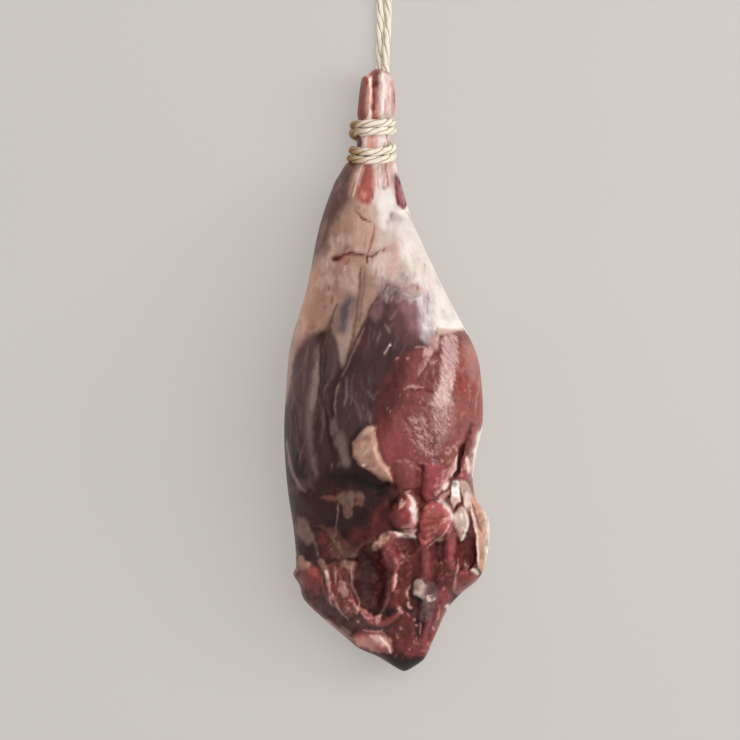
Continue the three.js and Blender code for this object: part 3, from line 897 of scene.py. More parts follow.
def paintShank(skin):
    skin.area("lobe", 1, [(-28, 458), (-16, 458), (-13.4, 452), (-12.8, 440), (-13.8, 419), (-32, 419)])
    skin.stroke("clotAndShade", 2.0, [(-20.6, 452), (-20.4, 440), (-20, 430), (-22, 419)], 0.85)
    skin.stroke("lobeLight", 1.1, [(-14.6, 449), (-14.8, 438), (-15.8, 421)], 0.8)
    skin.spot("stripRed", -16, 450.4, 2.2, 3, 0.5)
    skin.stroke("shankRed", 2.6, [(-7.6, 457), (-8, 444), (-8.2, 434), (-9.2, 420)], 0.95)
    skin.stroke("stripRed", 1.3, [(-9.6, 447), (-10, 436), (-10.8, 420)], 0.8)
    skin.stroke("pinkLight", 0.7, [(-12.6, 453), (-12, 446), (-12.6, 436), (-13.6, 421)], 0.8, 0.3)
    skin.stroke("clotDark", 0.6, [(-10.6, 457), (-10.4, 447), (-10.8, 438)], 0.8, -0.4)
    skin.spot("clotDark", -7.4, 457.2, 3.4, 2.4, 0.95, -0.3)
    skin.spot("clotAndShade", -8.6, 453, 2.2, 3.4, 0.7)
    skin.spot("clotDark", -8.2, 448.2, 2.5, 2.2, 0.9, -0.3)
    skin.spot("stripRed", -9.6, 424, 2, 3, 0.6)
    skin.stroke("palePink", 0.7, [(-4.6, 455), (-4.9, 442), (-5.4, 422)], 0.6)
    skin.stroke("tendon", 1.8, [(-2.7, 457), (-2.7, 440), (-3.4, 422)], 1, 0.5)
    skin.stroke("palePink", 0.6, [(-1.4, 438), (-1.6, 430), (-1.2, 421)], 0.75, -0.2)
    skin.stroke("palePink", 0.7, [(0.8, 452), (1, 438), (0.6, 424)], 0.35)
    skin.stroke("palePink", 1.5, [(4.5, 453), (4.7, 440), (4.4, 422)], 0.75)
    skin.area("shankRed", 2, [(3.4, 458), (9, 456), (9, 420), (3.8, 420)], 0.35)
    skin.stroke("clotAndShade", 2.8, [(-22.6, 455), (-22, 444), (-22.6, 431)], 0.95)
    skin.stroke("clotDark", 1.2, [(-23.2, 453), (-23, 444), (-23.2, 436)], 0.7)
    skin.stroke("plumGrey", 1.2, [(-23, 436), (-23.4, 422)], 0.6)
    skin.stroke("stripRed", 0.8, [(6.3, 452), (6.5, 440), (6, 424)], 0.7)
    for up, wide in ((444, 0.8), (440.6, 1.0), (435.4, 1.2)):
        skin.spot("clotAndShade", 5.4, up, wide, 1.3, 0.7)
    skin.stroke("shinRed", 2.2, [(-14, 458), (-8, 460.6), (0, 460.4), (5, 457)], 0.75)
    skin.stroke("clotAndShade", 1.2, [(-19, 456), (-16, 453.4), (-14, 450)], 0.6)
    skin.stroke("shinRed", 1.6, [(-15.4, 454), (-12.6, 458), (-10, 462)], 0.6)
    skin.stroke("clotAndShade", 0.9, [(-12.8, 456), (-11, 460)], 0.6)
    skin.spot("shankRed", -12, 462, 4, 3, 0.7)
    skin.scatter("palePink", 26, (0.5, 7), 92, [(-6, 456), (6, 454), (5.6, 424), (-6, 424)], 22, 0.5, -0.1)
    skin.scatter("stripRed", 14, (0.45, 5), 90, [
        (-11, 455), (-6, 455), (-7, 422), (-12, 422)], 23, 0.55, -0.15)
    # between the two windings
    skin.area("plumGrey", 1.2, [(-36, 397), (-18, 397), (-18.4, 412), (-36, 413)])
    skin.stroke("lobeLight", 1.0, [(-17.8, 412), (-17.6, 404), (-18, 397)], 0.7)
    skin.stroke("pinkLight", 0.7, [(-15.4, 412), (-15.8, 404), (-16.2, 397)], 0.8, 0.3)
    skin.stroke("stripRed", 0.6, [(-13.8, 412), (-14.2, 404), (-14.4, 397)], 0.6)
    skin.stroke("shankRed", 2.2, [(-11.4, 412), (-11.8, 404), (-12.2, 397)], 0.9)
    skin.stroke("palePink", 1.4, [(-8.4, 412), (-8.6, 397)], 0.6)
    skin.stroke("vein", 0.5, [(-0.6, 412), (1.4, 406), (0.6, 400)], 0.7, -0.2)
    skin.stroke("vein", 0.5, [(-1, 404), (-2.4, 400.6), (-3.8, 398)], 0.75, -0.2)
    skin.stroke("palePink", 1.2, [(3, 411), (4, 399)], 0.6)


def paintBelowBands(skin):
    skin.area("shankPale", 4, [
        (-26, 396), (10, 396), (20, 366), (18, 352), (-6, 352), (-12, 362), (-24, 372)], 0.8)
    skin.area("shadeFat", 6, [
        (-30, 372), (-26, 350), (-34, 330), (-42, 318), (-62, 306), (-70, 330), (-50, 380)])
    skin.area("legShade", 3, [
        (-60, 400), (-23, 398), (-23.6, 386), (-28, 374), (-32, 362), (-37, 348), (-43, 334),
        (-49, 322), (-58, 318), (-70, 330), (-60, 370)])
    skin.stroke("plumGrey", 2.2, [(-29, 368), (-34, 354), (-39, 340)], 0.7)
    skin.area("plumGrey", 3, [
        (-40, 396), (-24.6, 394), (-25, 384), (-29, 372), (-34, 362), (-44, 366)], 0.6)
    skin.scatter("shadeFat", 14, (0.6, 8), 70, [
        (-31, 392), (-25, 392), (-32, 362), (-42, 362)], 84, 0.5, 0.1)
    skin.stroke("plumGrey", 1.8, [(-24.6, 390), (-27.4, 380), (-30, 370)], 0.7)
    skin.stroke("shadeFat", 1.6, [(-46, 345), (-49, 334), (-53, 322)], 0.6)
    skin.area("tanFat", 6, [
        (-34, 352), (-26, 356), (-22, 352), (-22, 336), (-26, 322), (-42, 318), (-40, 338)], 0.9)
    skin.area("pinkTan", 5, [
        (-24, 362), (-12, 358), (-7, 345), (-9, 330), (-12, 316), (-20, 312), (-24, 326), (-25, 345)], 0.9)
    skin.area("warmFat", 4, [(-34, 348), (-28, 350), (-25, 340), (-27, 328), (-38, 326)], 0.5)
    skin.area("paleFat", 4, [(-14, 356), (-8, 356), (-6, 342), (-10, 340), (-14, 346)], 0.4)
    skin.scatter("shinRed", 16, (0.5, 4), 84, [(-26, 366), (-10, 368), (-10, 352), (-26, 350)], 19, 0.35, 0)
    skin.scatter("palePink", 12, (0.6, 5), 80, [(-6, 388), (5, 388), (8, 362), (-6, 364)], 20, 0.4, 0.1)
    # painted shadow just under the lower winding
    skin.area("clotAndShade", 3, [(-27, 396), (-13, 396), (-15, 387), (-24, 380), (-28, 382)], 0.6)
    skin.stroke("brownFat", 1.5, [(-22.6, 390), (-26.2, 377), (-29.6, 363)], 0.8)
    skin.stroke("lobeLight", 0.8, [(-23.4, 382), (-26.6, 371), (-28.6, 363)], 0.8, 0.2)
    skin.stroke("stripRed", 0.7, [(-20.4, 388), (-23.2, 378), (-25.6, 368)], 0.35, -0.2)
    skin.area("shinRed", 1.8, [
        (-17.4, 390), (-9.4, 386), (-8.8, 376), (-9.2, 368), (-10.6, 360), (-13, 355.6), (-18, 356),
        (-22, 358.6), (-24.4, 362), (-22.6, 369), (-20, 377), (-18.4, 384)], 0.97)
    skin.stroke("stripRed", 1.6, [(-15.6, 386), (-16.6, 378), (-18.4, 371)], 0.55)
    skin.stroke("palePink", 1.3, [(-10, 385), (-9.6, 374), (-11, 362)], 0.55)
    skin.stroke("clotAndShade", 0.6, [(-11.6, 366.5), (-10.8, 363), (-10.4, 359.6)], 0.7, -0.3)
    skin.stroke("shankRed", 2.2, [(-19, 366), (-17, 360)], 0.6)
    skin.spot("lobeLight", -23.6, 360.6, 2.2, 3, 0.7)
    skin.stroke("pinkLight", 0.6, [
        (-18.3, 389), (-21, 378.6), (-23.8, 369), (-25.6, 363), (-25.6, 360.6)], 0.85, 0.3)
    skin.stroke("pinkLight", 0.5, [(-17, 384), (-19.4, 376), (-21.4, 369)], 0.5, 0.2)
    skin.stroke("vein", 0.5, [(-14, 387), (-9.4, 385), (-6.4, 383.4)], 0.5)
    skin.stroke("palePink", 1.4, [(-6, 387), (-6.6, 378), (-6, 369)], 0.55)
    skin.stroke("tendon", 0.8, [(-4.8, 386), (-5.2, 378), (-4.6, 370)], 0.6, 0.2)
    skin.stroke("vein", 0.5, [(-3.6, 388), (-4, 382), (-4.6, 376)], 0.5, -0.2)
    skin.stroke("palePink", 1.1, [(-1.8, 387), (-2, 378), (-2.2, 370)], 0.75)
    skin.stroke("shinRed", 0.7, [(-0.6, 390), (-0.2, 382), (0.4, 375), (1, 370.6)], 0.7, -0.2)
    skin.stroke("vein", 0.8, [(1.2, 370.6), (-1, 369.3), (-3.8, 367.6)], 0.9, -0.2)
    skin.stroke("palePink", 1.9, [(3, 393), (3.6, 382), (4.4, 372), (5, 364)], 0.6, 0.3)
    skin.area("pocket", 0.8, [
        (6.4, 381), (8.4, 377.4), (11, 372.4), (13.4, 367), (15.2, 360), (15, 354.4), (12.6, 352.2),
        (9.6, 354.2), (7, 358.6), (6.2, 366), (5.6, 373)])
    skin.stroke("clotDark", 1.3, [(6.9, 371), (7.6, 363), (9, 356)], 0.85, -0.9)
    # painted highlight inside the pocket
    skin.stroke("pocketHighlight", 1.6, [(10.6, 371), (12.2, 364), (13.2, 357)], 0.85, 0.2)
    skin.stroke("plum", 0.6, [(9.4, 376), (13.2, 368), (15.1, 360), (14.8, 354), (12.4, 352.2)], 0.8)
    skin.stroke("pocket", 0.6, [(11.6, 366), (10.4, 362), (12.8, 359)], 0.7)
    skin.stroke("tendon", 1.0, [(6.2, 390), (9.6, 380.4), (13.6, 371), (16.6, 361), (17.4, 353)], 0.9, 0.4)
    skin.stroke("palePink", 0.9, [(13, 351), (16, 350.4), (18.8, 345), (21.2, 337.6)], 0.7)
    skin.area("whiteFat", 3, [
        (-3, 368), (4, 368), (6, 356), (2.6, 346), (-1, 335), (-4.6, 338), (-5.4, 350), (-7, 360)], 0.95)
    skin.area("lavender", 4, [(6, 352), (14, 350), (18, 340), (12, 330), (4, 332), (0, 338), (3, 348)], 0.5)
    skin.spot("mist", 4.2, 346.4, 2.4, 3.4, 0.75)
    skin.spot("mauve", 3.6, 348, 1.2, 1.6, 0.5)
    skin.spot("mist", 9, 345, 3.8, 3, 0.5)
    skin.spot("greyFat", 1.6, 342, 2.6, 1.8, 0.6)
    skin.spot("greyFat", -2.2, 334, 3, 2.4, 0.5)


def paintFat(skin):
    skin.area("warmFat", 4, [
        (-66, 312), (-52, 306), (-50, 292), (-54, 280), (-60, 270), (-64, 252), (-80, 240),
        (-80, 280)], 0.8)
    skin.area("brownFat", 6, [
        (-56, 292), (-46, 292), (-42, 280), (-46, 268), (-58, 258), (-64, 262), (-60, 278)], 0.7)
    skin.area("pinkFat", 3, [(-72, 272), (-64, 272), (-60, 262), (-66, 250), (-76, 252)], 0.35)
    skin.area("paleFat", 4, [(-32, 308), (-22, 310), (-21, 292), (-26, 288), (-33, 294)], 0.4)
    skin.area("brownFat", 4, [(-44, 302), (-36, 302), (-32, 292), (-40, 288), (-46, 292)], 0.5)
    skin.area("edgeFat", 2, [
        (-66, 272), (-64, 262), (-66.4, 250), (-69.6, 240), (-73, 225), (-76, 205), (-77.4, 188),
        (-90, 188), (-90, 270)], 0.9)
    skin.area("brownFat", 8, [(-58, 313), (-26, 313), (-24, 296), (-40, 288), (-58, 290)], 0.45)
    skin.area("brownFat", 4, [(-43, 343), (-31, 345), (-29, 324), (-43, 322)], 0.45)
    skin.area("paleFat", 4, [(-5, 334), (5, 334), (6, 318), (-3, 316)], 0.6)
    skin.area("pinkFat", 3.5, [(2, 324), (7, 330), (9, 318), (8, 306), (3, 300), (0, 306), (3, 314)], 0.8)
    skin.area("greyFat", 4, [(6, 308), (14, 312), (20, 300), (16, 294), (8, 296)], 0.8)
    skin.area("paleFat", 5, [(20, 318), (34, 312), (30, 300), (18, 306)], 0.3)
    skin.area("mist", 3, [(-12, 302), (-5, 302), (-3, 296), (-8, 291), (-13, 294)], 0.4)
    skin.area("beige", 3, [
        (-17, 290), (-11, 290), (-10, 284), (-14, 274), (-19, 264), (-22, 262), (-19, 280),
        (-17, 288)], 0.3)
    skin.scatter("brownFat", 26, (0.9, 5), 70, [
        (-60, 315), (-22, 315), (-24, 292), (-48, 270), (-66, 262)], 25, 0.35, 0)
    skin.scatter("paleFat", 26, (1.6, 7), 80, [(-50, 330), (-14, 335), (-22, 300), (-56, 285)], 26, 0.3, 0)
    skin.scatter("palePink", 20, (0.8, 5), 100, [(-10, 330), (30, 320), (34, 292), (-6, 300)], 27, 0.3, 0)
    skin.scatter("whiteFat", 22, (1.5, 8), 100, [
        (0, 345), (40, 320), (56, 280), (36, 270), (14, 300)], 28, 0.45, 0.1)
    skin.scatter("pinkFat", 16, (3, 12), 115, [
        (4, 335), (34, 330), (60, 275), (40, 268), (12, 300)], 12, 0.3, 0)
    skin.scatter("lavender", 14, (3, 10), 100, [
        (4, 350), (28, 330), (50, 285), (36, 275), (12, 305)], 13, 0.35, 0)
    # the torn upper edge of the membrane
    skin.area("mauve", 4.5, [
        (-7, 293), (2, 297), (14, 294), (20, 288), (16, 280), (4, 279), (-8, 282)], 0.6)
    skin.area("lavender", 5, [
        (22, 286), (28, 287), (33, 288), (34, 278), (34, 264), (31, 257), (27, 262), (23, 272)], 0.9)
    skin.area("whiteFat", 2, [(8, 287), (12, 289), (19, 288), (21, 282), (13, 280), (9, 283)], 0.7)
    skin.scatter("greyFat", 18, (0.6, 5), 20, [(-4, 294), (20, 292), (24, 284), (0, 283)], 29, 0.7, 0.1)
    skin.scatter("plum", 14, (0.6, 4), 150, [(-4, 293), (18, 291), (22, 283), (0, 281)], 30, 0.6, -0.1)
    skin.scatter("mist", 12, (0.7, 5), 95, [(27, 288), (34, 289), (36, 262), (30, 262)], 24, 0.4, 0)
    skin.stroke("brownLine", 0.5, [(0, 293.6), (6, 292.6), (12, 291.8)], 0.55, -0.3)
    skin.stroke("whiteFat", 0.6, [(11, 280.6), (17, 282), (23, 283.5), (29, 286.4)], 0.7, 0.3)


def paintVeins(skin):
    skin.stroke("vein", 0.8, [(-25, 352), (-22.4, 350), (-20.4, 346.6), (-17, 344.8), (-10.5, 342.4)], 0.8)
    skin.stroke("clotAndShade", 0.8, [(-20.4, 346.6), (-18.2, 345), (-15.4, 344.6)], 0.8, -0.2)
    skin.spot("vein", -21.4, 353.6, 1.2, 1, 0.6)
    skin.stroke("vein", 0.8, [(-9.6, 342), (-9.4, 336), (-11, 330), (-13, 322), (-14.8, 316)], 0.8)
    skin.stroke("clotAndShade", 0.8, [(-10.8, 332), (-12.2, 326), (-14.2, 319)], 0.8, -0.2)
    skin.stroke("vein", 0.7, [(-16, 331), (-17, 322)], 0.35)
    skin.stroke("vein", 1.9, [(-37, 315.4), (-30, 318.6), (-22, 317.6), (-14, 317), (-6, 319)], 0.25)
    skin.stroke("palePink", 2.4, [(-10, 341), (-12, 328), (-15, 314)], 0.3)
    skin.spot("vein", -37, 315, 5, 3.4, 0.4)
    skin.spot("clotDark", -37.6, 314.8, 3.3, 2.1, 1, -0.3)
    skin.spot("deepMeat", -38.4, 314.5, 2.4, 1.7, 1)
    skin.stroke("clotDark", 1.0, [(-36, 315.4), (-34, 317), (-32.6, 318.2)], 1, -0.3)
    skin.stroke("vein", 0.6, [(-33.4, 318.6), (-32, 321.6), (-29.6, 325.4)], 0.5)
    skin.stroke("vein", 0.6, [(-12, 316), (-10.4, 312.6), (-11, 310)], 0.4)
    skin.stroke("vein", 0.6, [(-24, 318), (-22.6, 315.4)], 0.4)
    skin.stroke("clotAndShade", 0.9, [(-33, 318), (-28, 319.2), (-24, 318), (-20, 317.5), (-15, 317.4)], 0.95, -0.2)
    skin.stroke("clotAndShade", 0.8, [(-15, 316.4), (-11.6, 316), (-8.6, 316.6), (-6.6, 319), (-5, 320.2)], 0.85)
    skin.stroke("palePink", 1.6, [(-5, 319), (-2, 322.6), (-0.4, 320)], 0.7)
    skin.stroke("vein", 0.6, [(-4, 319), (-1.6, 321.8), (-2.6, 323.4)], 0.7)
    skin.stroke("clotDark", 1.0, [(-15.6, 317), (-15.2, 314), (-14.8, 310.8)], 0.95, -0.4)
    skin.stroke("vein", 0.8, [(-32, 309.4), (-30, 312), (-28.4, 313.8)], 0.8)
    skin.stroke("vein", 0.7, [(-30.4, 322), (-28, 324.8)], 0.7)
    skin.stroke("clotAndShade", 0.7, [(-44.4, 294), (-43.8, 290.8)], 0.6)
    skin.stroke("vein", 0.9, [(-41.4, 287), (-41.8, 280)], 0.7)
    skin.stroke("vein", 0.9, [(-47, 278.6), (-46.2, 275.4)], 0.7)
    skin.spot("vein", -56, 262.6, 2.6, 1.6, 0.7)
    skin.spot("palePink", 23, 291.4, 4, 3.4, 0.5)
    skin.stroke("shinRed", 0.8, [(22.4, 290.4), (23.4, 292), (23.2, 295)], 0.8)
    skin.spot("vein", 29, 310, 0.8, 1.0, 0.4)


def paintThigh(skin):
    skin.area("darkMuscle", 6, [
        (-86, 222), (-72, 234), (-64, 250), (-58, 258), (-52, 254), (-50, 240), (-52, 205), (-58, 190),
        (-56, 160), (-50, 133), (-90, 130), (-90, 190)])
    skin.area("edgeFat", 1.6, [
        (-92, 245), (-68.4, 246), (-73.2, 225), (-76, 205), (-77.6, 185), (-92, 185)], 0.8)
    skin.area("deepMuscle", 4.5, [
        (-50, 250), (-47, 258), (-42, 270), (-40, 262), (-37, 250), (-35, 238), (-37, 220), (-40, 203),
        (-43, 180), (-41, 165), (-48, 140), (-56, 160), (-56, 190), (-52, 205), (-50.4, 225)])
    skin.area("darkMuscle", 2.5, [
        (-46, 252), (-43, 262), (-39, 258), (-36, 242), (-37, 228), (-42, 222), (-46, 236)])
    skin.area("plum", 3, [(-76, 250), (-60, 262), (-56, 256), (-68, 240)], 0.35)
    skin.area("greyOval", 6, [
        (-28, 288), (-23, 284), (-25, 272), (-30, 256), (-36, 257), (-39, 266), (-37, 279)], 0.95)
    skin.area("beige", 2.2, [
        (-43, 266), (-40, 264), (-37, 258), (-34, 254), (-31, 258), (-28, 270), (-25.6, 268), (-27, 256),
        (-29.6, 244), (-33, 232), (-34.6, 232), (-35.6, 240), (-37, 250), (-41, 259)], 0.72)
    skin.stroke("mist", 1.3, [(-26.4, 282), (-27, 272), (-28.6, 262)], 0.6)
    skin.stroke("brownLine", 1.2, [
        (-38, 280), (-41, 271), (-44, 262), (-46.4, 252), (-48.4, 242), (-49.6, 230)], 0.7, -0.4)
    skin.area("dimBeige", 3.4, [
        (-52, 249), (-50.6, 248), (-50.6, 235), (-51.2, 220), (-52, 208), (-55.4, 196), (-57, 186),
        (-56.4, 172), (-53, 158), (-49.4, 142), (-47.6, 138), (-49.6, 137), (-54, 150), (-59, 168),
        (-61.6, 184), (-60.6, 198), (-58, 212), (-55.6, 226), (-54, 240)], 0.85)
    skin.stroke("beige", 2.2, [(-52.4, 236), (-53.6, 222), (-55.6, 210), (-57, 201)], 0.8)
    skin.stroke("deepMuscle", 1.0, [
        (-49.8, 250), (-49.8, 235), (-50.4, 218), (-51.6, 206), (-54.6, 196)], 0.8, -0.4)
    skin.area("membrane", 2.2, [
        (-4, 290), (2, 292), (9, 290), (14, 287), (18, 281), (23, 278), (28, 262), (31, 249),
        (22, 246), (14, 243), (8, 238), (2, 230), (-3, 221), (-6, 210), (-8, 198), (-9, 188),
        (-17, 187), (-25, 178), (-29, 176), (-33, 183), (-37.6, 190), (-39.4, 201), (-38.6, 210),
        (-34, 226), (-28, 241), (-22, 255), (-15, 269), (-9, 281)])
    skin.area("membrane", 3, [(-40, 200), (-30, 200), (-26, 170), (-28, 155), (-40, 152), (-44, 170)], 0.7)
    skin.area("plum", 5, [(2, 286), (16, 282), (26, 268), (29, 254), (20, 248), (6, 254), (2, 268)], 0.75)
    skin.area("mauve", 4.5, [(13, 283), (21, 282), (26, 268), (24, 258), (14, 262)], 0.85)
    skin.area("mauve", 3, [(22, 268), (28, 264), (30, 252), (24, 256)], 0.7)
    skin.area("lavender", 5, [(25, 286), (33, 288), (34, 268), (31, 259), (27, 262), (25, 272)], 0.9)
    skin.area("mauve", 3, [(-5, 292), (4, 291), (10, 284), (2, 280), (-8, 282)], 0.5)
    skin.area("mauve", 3, [(-13, 283), (-5, 284), (-1, 276), (-7, 266), (-13, 271)], 0.55)
    skin.area("mauve", 3, [(5, 286), (20, 285), (25, 274), (12, 271)], 0.6)
    skin.scatter("greyFat", 30, (0.7, 7), 60, [
        (-8, 296), (20, 294), (28, 286), (22, 276), (-4, 284)], 15, 0.42, 0.05)
    skin.scatter("greyFat", 26, (0.7, 7), 150, [
        (-6, 297), (20, 294), (28, 286), (18, 280), (-4, 286)], 16, 0.42, 0.05)
    skin.scatter("mauve", 12, (1.6, 4), 40, [
        (-6, 300), (18, 298), (26, 290), (14, 286), (-6, 290)], 85, 0.4, 0)
    skin.scatter("mauve", 30, (0.5, 5), 70, [(-14, 308), (24, 304), (22, 291), (-4, 294)], 17, 0.4, 0)
    skin.scatter("mauve", 16, (0.6, 9), 96, [(23, 286), (34, 288), (34, 260), (25, 260)], 18, 0.4, 0)
    skin.scatter("whiteFat", 12, (0.5, 7), 96, [(25, 286), (36, 288), (36, 262), (27, 262)], 14, 0.6, 0.1)
    skin.area("darkRed", 3, [(-20, 260), (-15, 258), (-13, 250), (-20, 246), (-24, 250)], 0.35)
    skin.stroke("brownLine", 0.9, [
        (0.4, 293.6), (-4, 289), (-7.4, 284), (-11, 279), (-14.4, 271), (-18, 263.6), (-21.4, 257),
        (-24.6, 250), (-28, 242), (-31, 232.6), (-34.6, 225), (-37.4, 217.6), (-39.4, 210)], 0.6, -0.25)
    skin.stroke("brownLine", 0.6, [(-3.6, 296), (-3.2, 291), (-6, 287), (-12.4, 278)], 0.4)
    skin.stroke("beige", 0.7, [
        (-17, 262), (-20, 256), (-24, 248), (-27.4, 239), (-31.6, 229.6), (-34, 225)], 0.7, 0.3)
    skin.stroke("beige", 0.7, [(-35.6, 221), (-38.4, 211), (-39.4, 202), (-38.8, 195)], 0.6, 0.2)
    skin.stroke("brownLine", 1.3, [
        (-20, 308), (-20.4, 295), (-21.6, 283), (-23, 270), (-25.4, 257), (-28.4, 245),
        (-31, 236)], 0.7, -0.3)
    skin.stroke("brownLine", 1.1, [
        (-16.8, 306), (-17.8, 295), (-18.8, 284), (-20, 273), (-21.8, 263)], 0.5, -0.2)
    skin.stroke("mauve", 0.9, [(-18.4, 306), (-19.2, 293), (-20.4, 281), (-21.6, 272)], 0.5, 0.2)
    skin.scatter("mist", 26, (0.5, 17), 98, [(-38, 225), (-12, 235), (-8, 190), (-33, 192)], 31, 0.2, 0)
    skin.scatter("deepMuscle", 20, (0.8, 12), 96, [
        (-34, 230), (2, 262), (0, 225), (-10, 190), (-34, 190)], 37, 0.22, 0)
    skin.scatter("mist", 22, (0.5, 8), 80, [(-10, 275), (22, 262), (14, 245), (-20, 240)], 32, 0.25, 0)
    skin.stroke("mist", 1.2, [(-14.6, 201), (-12.8, 196), (-12.2, 189)], 0.75, 0.2)
    skin.stroke("mist", 0.8, [(-30, 226), (-30, 215), (-32.4, 202)], 0.55)
    skin.stroke("mist", 0.7, [(-19, 205), (-17.4, 200)], 0.5)
    for x0, up0 in ((-14, 213.6), (-12.4, 211), (-10.4, 209.2), (-7, 213.4), (-9, 211.6)):
        skin.spot("mist", x0, up0, 1.1, 1.0, 0.7)
    skin.area("deepMuscle", 5, [(-15, 248), (1, 251), (8, 241), (0, 226), (-13, 226)], 0.6)
    skin.stroke("greyFat", 0.8, [(1, 248), (-0.6, 244.6), (-2.2, 241.6)], 0.6, 0.3)
    skin.stroke("whitePink", 0.9, [(1.4, 249.6), (2.8, 248.6)], 0.9, 0.5)
    skin.stroke("mist", 0.8, [(2, 258), (1, 262), (-1.4, 265)], 0.5)
    skin.stroke("mist", 0.8, [(2, 268), (5, 272), (8, 276)], 0.5)
    # lower down, where the outer muscles end
    skin.area("dimBeige", 1.6, [
        (-39.6, 197), (-37, 190), (-36, 183), (-38.6, 185), (-41.6, 179), (-43.4, 184), (-42, 190)], 0.7)
    skin.area("beige", 3.4, [
        (-38, 184), (-34.6, 184), (-31, 176), (-29, 168), (-27, 160), (-29, 156), (-34, 157),
        (-35.4, 166), (-39, 172), (-40.6, 178)], 0.5)
    # darker towards the left edge, then painted shade along the edge itself
    skin.area("deepMuscle", 5, [
        (-76, 212), (-67, 212), (-63, 190), (-60, 165), (-58, 146), (-80, 146)], 0.85)
    skin.area("edgeShade", 4, [(-84, 205), (-75, 205), (-69, 185), (-65, 165), (-62, 145), (-84, 138)], 1)
    skin.area("deepMuscle", 6, [(-30, 240), (-14, 244), (-10, 226), (-14, 214), (-30, 214)], 0.55)
    skin.area("deepMuscle", 5, [(-24, 218), (-5, 220), (-8, 200), (-20, 197)], 0.5)
    skin.area("deepMuscle", 1.8, [(-41, 170), (-37, 172), (-35, 164), (-36, 158), (-40, 160)], 0.9)
    skin.stroke("deepMeat", 1.3, [(-46.8, 201), (-45.2, 188), (-43.2, 178), (-41.2, 168)], 0.8, -0.5)
    skin.stroke("mist", 1.2, [
        (-76.4, 180), (-74.4, 166), (-71.4, 152), (-66, 142), (-60, 136), (-55.6, 133)], 0.5)
    skin.stroke("mist", 0.8, [(-41, 160), (-41.6, 149)], 0.4)
    skin.stroke("mist", 0.9, [(-36, 160), (-38.4, 152)], 0.4)
    skin.scatter("mist", 12, (0.8, 26), 93, [(-74, 232), (-60, 240), (-62, 150), (-74, 160)], 34, 0.16, 0)
    skin.scatter("mist", 8, (0.8, 20), 93, [(-47, 240), (-40, 240), (-44, 180), (-54, 160)], 35, 0.16, 0)


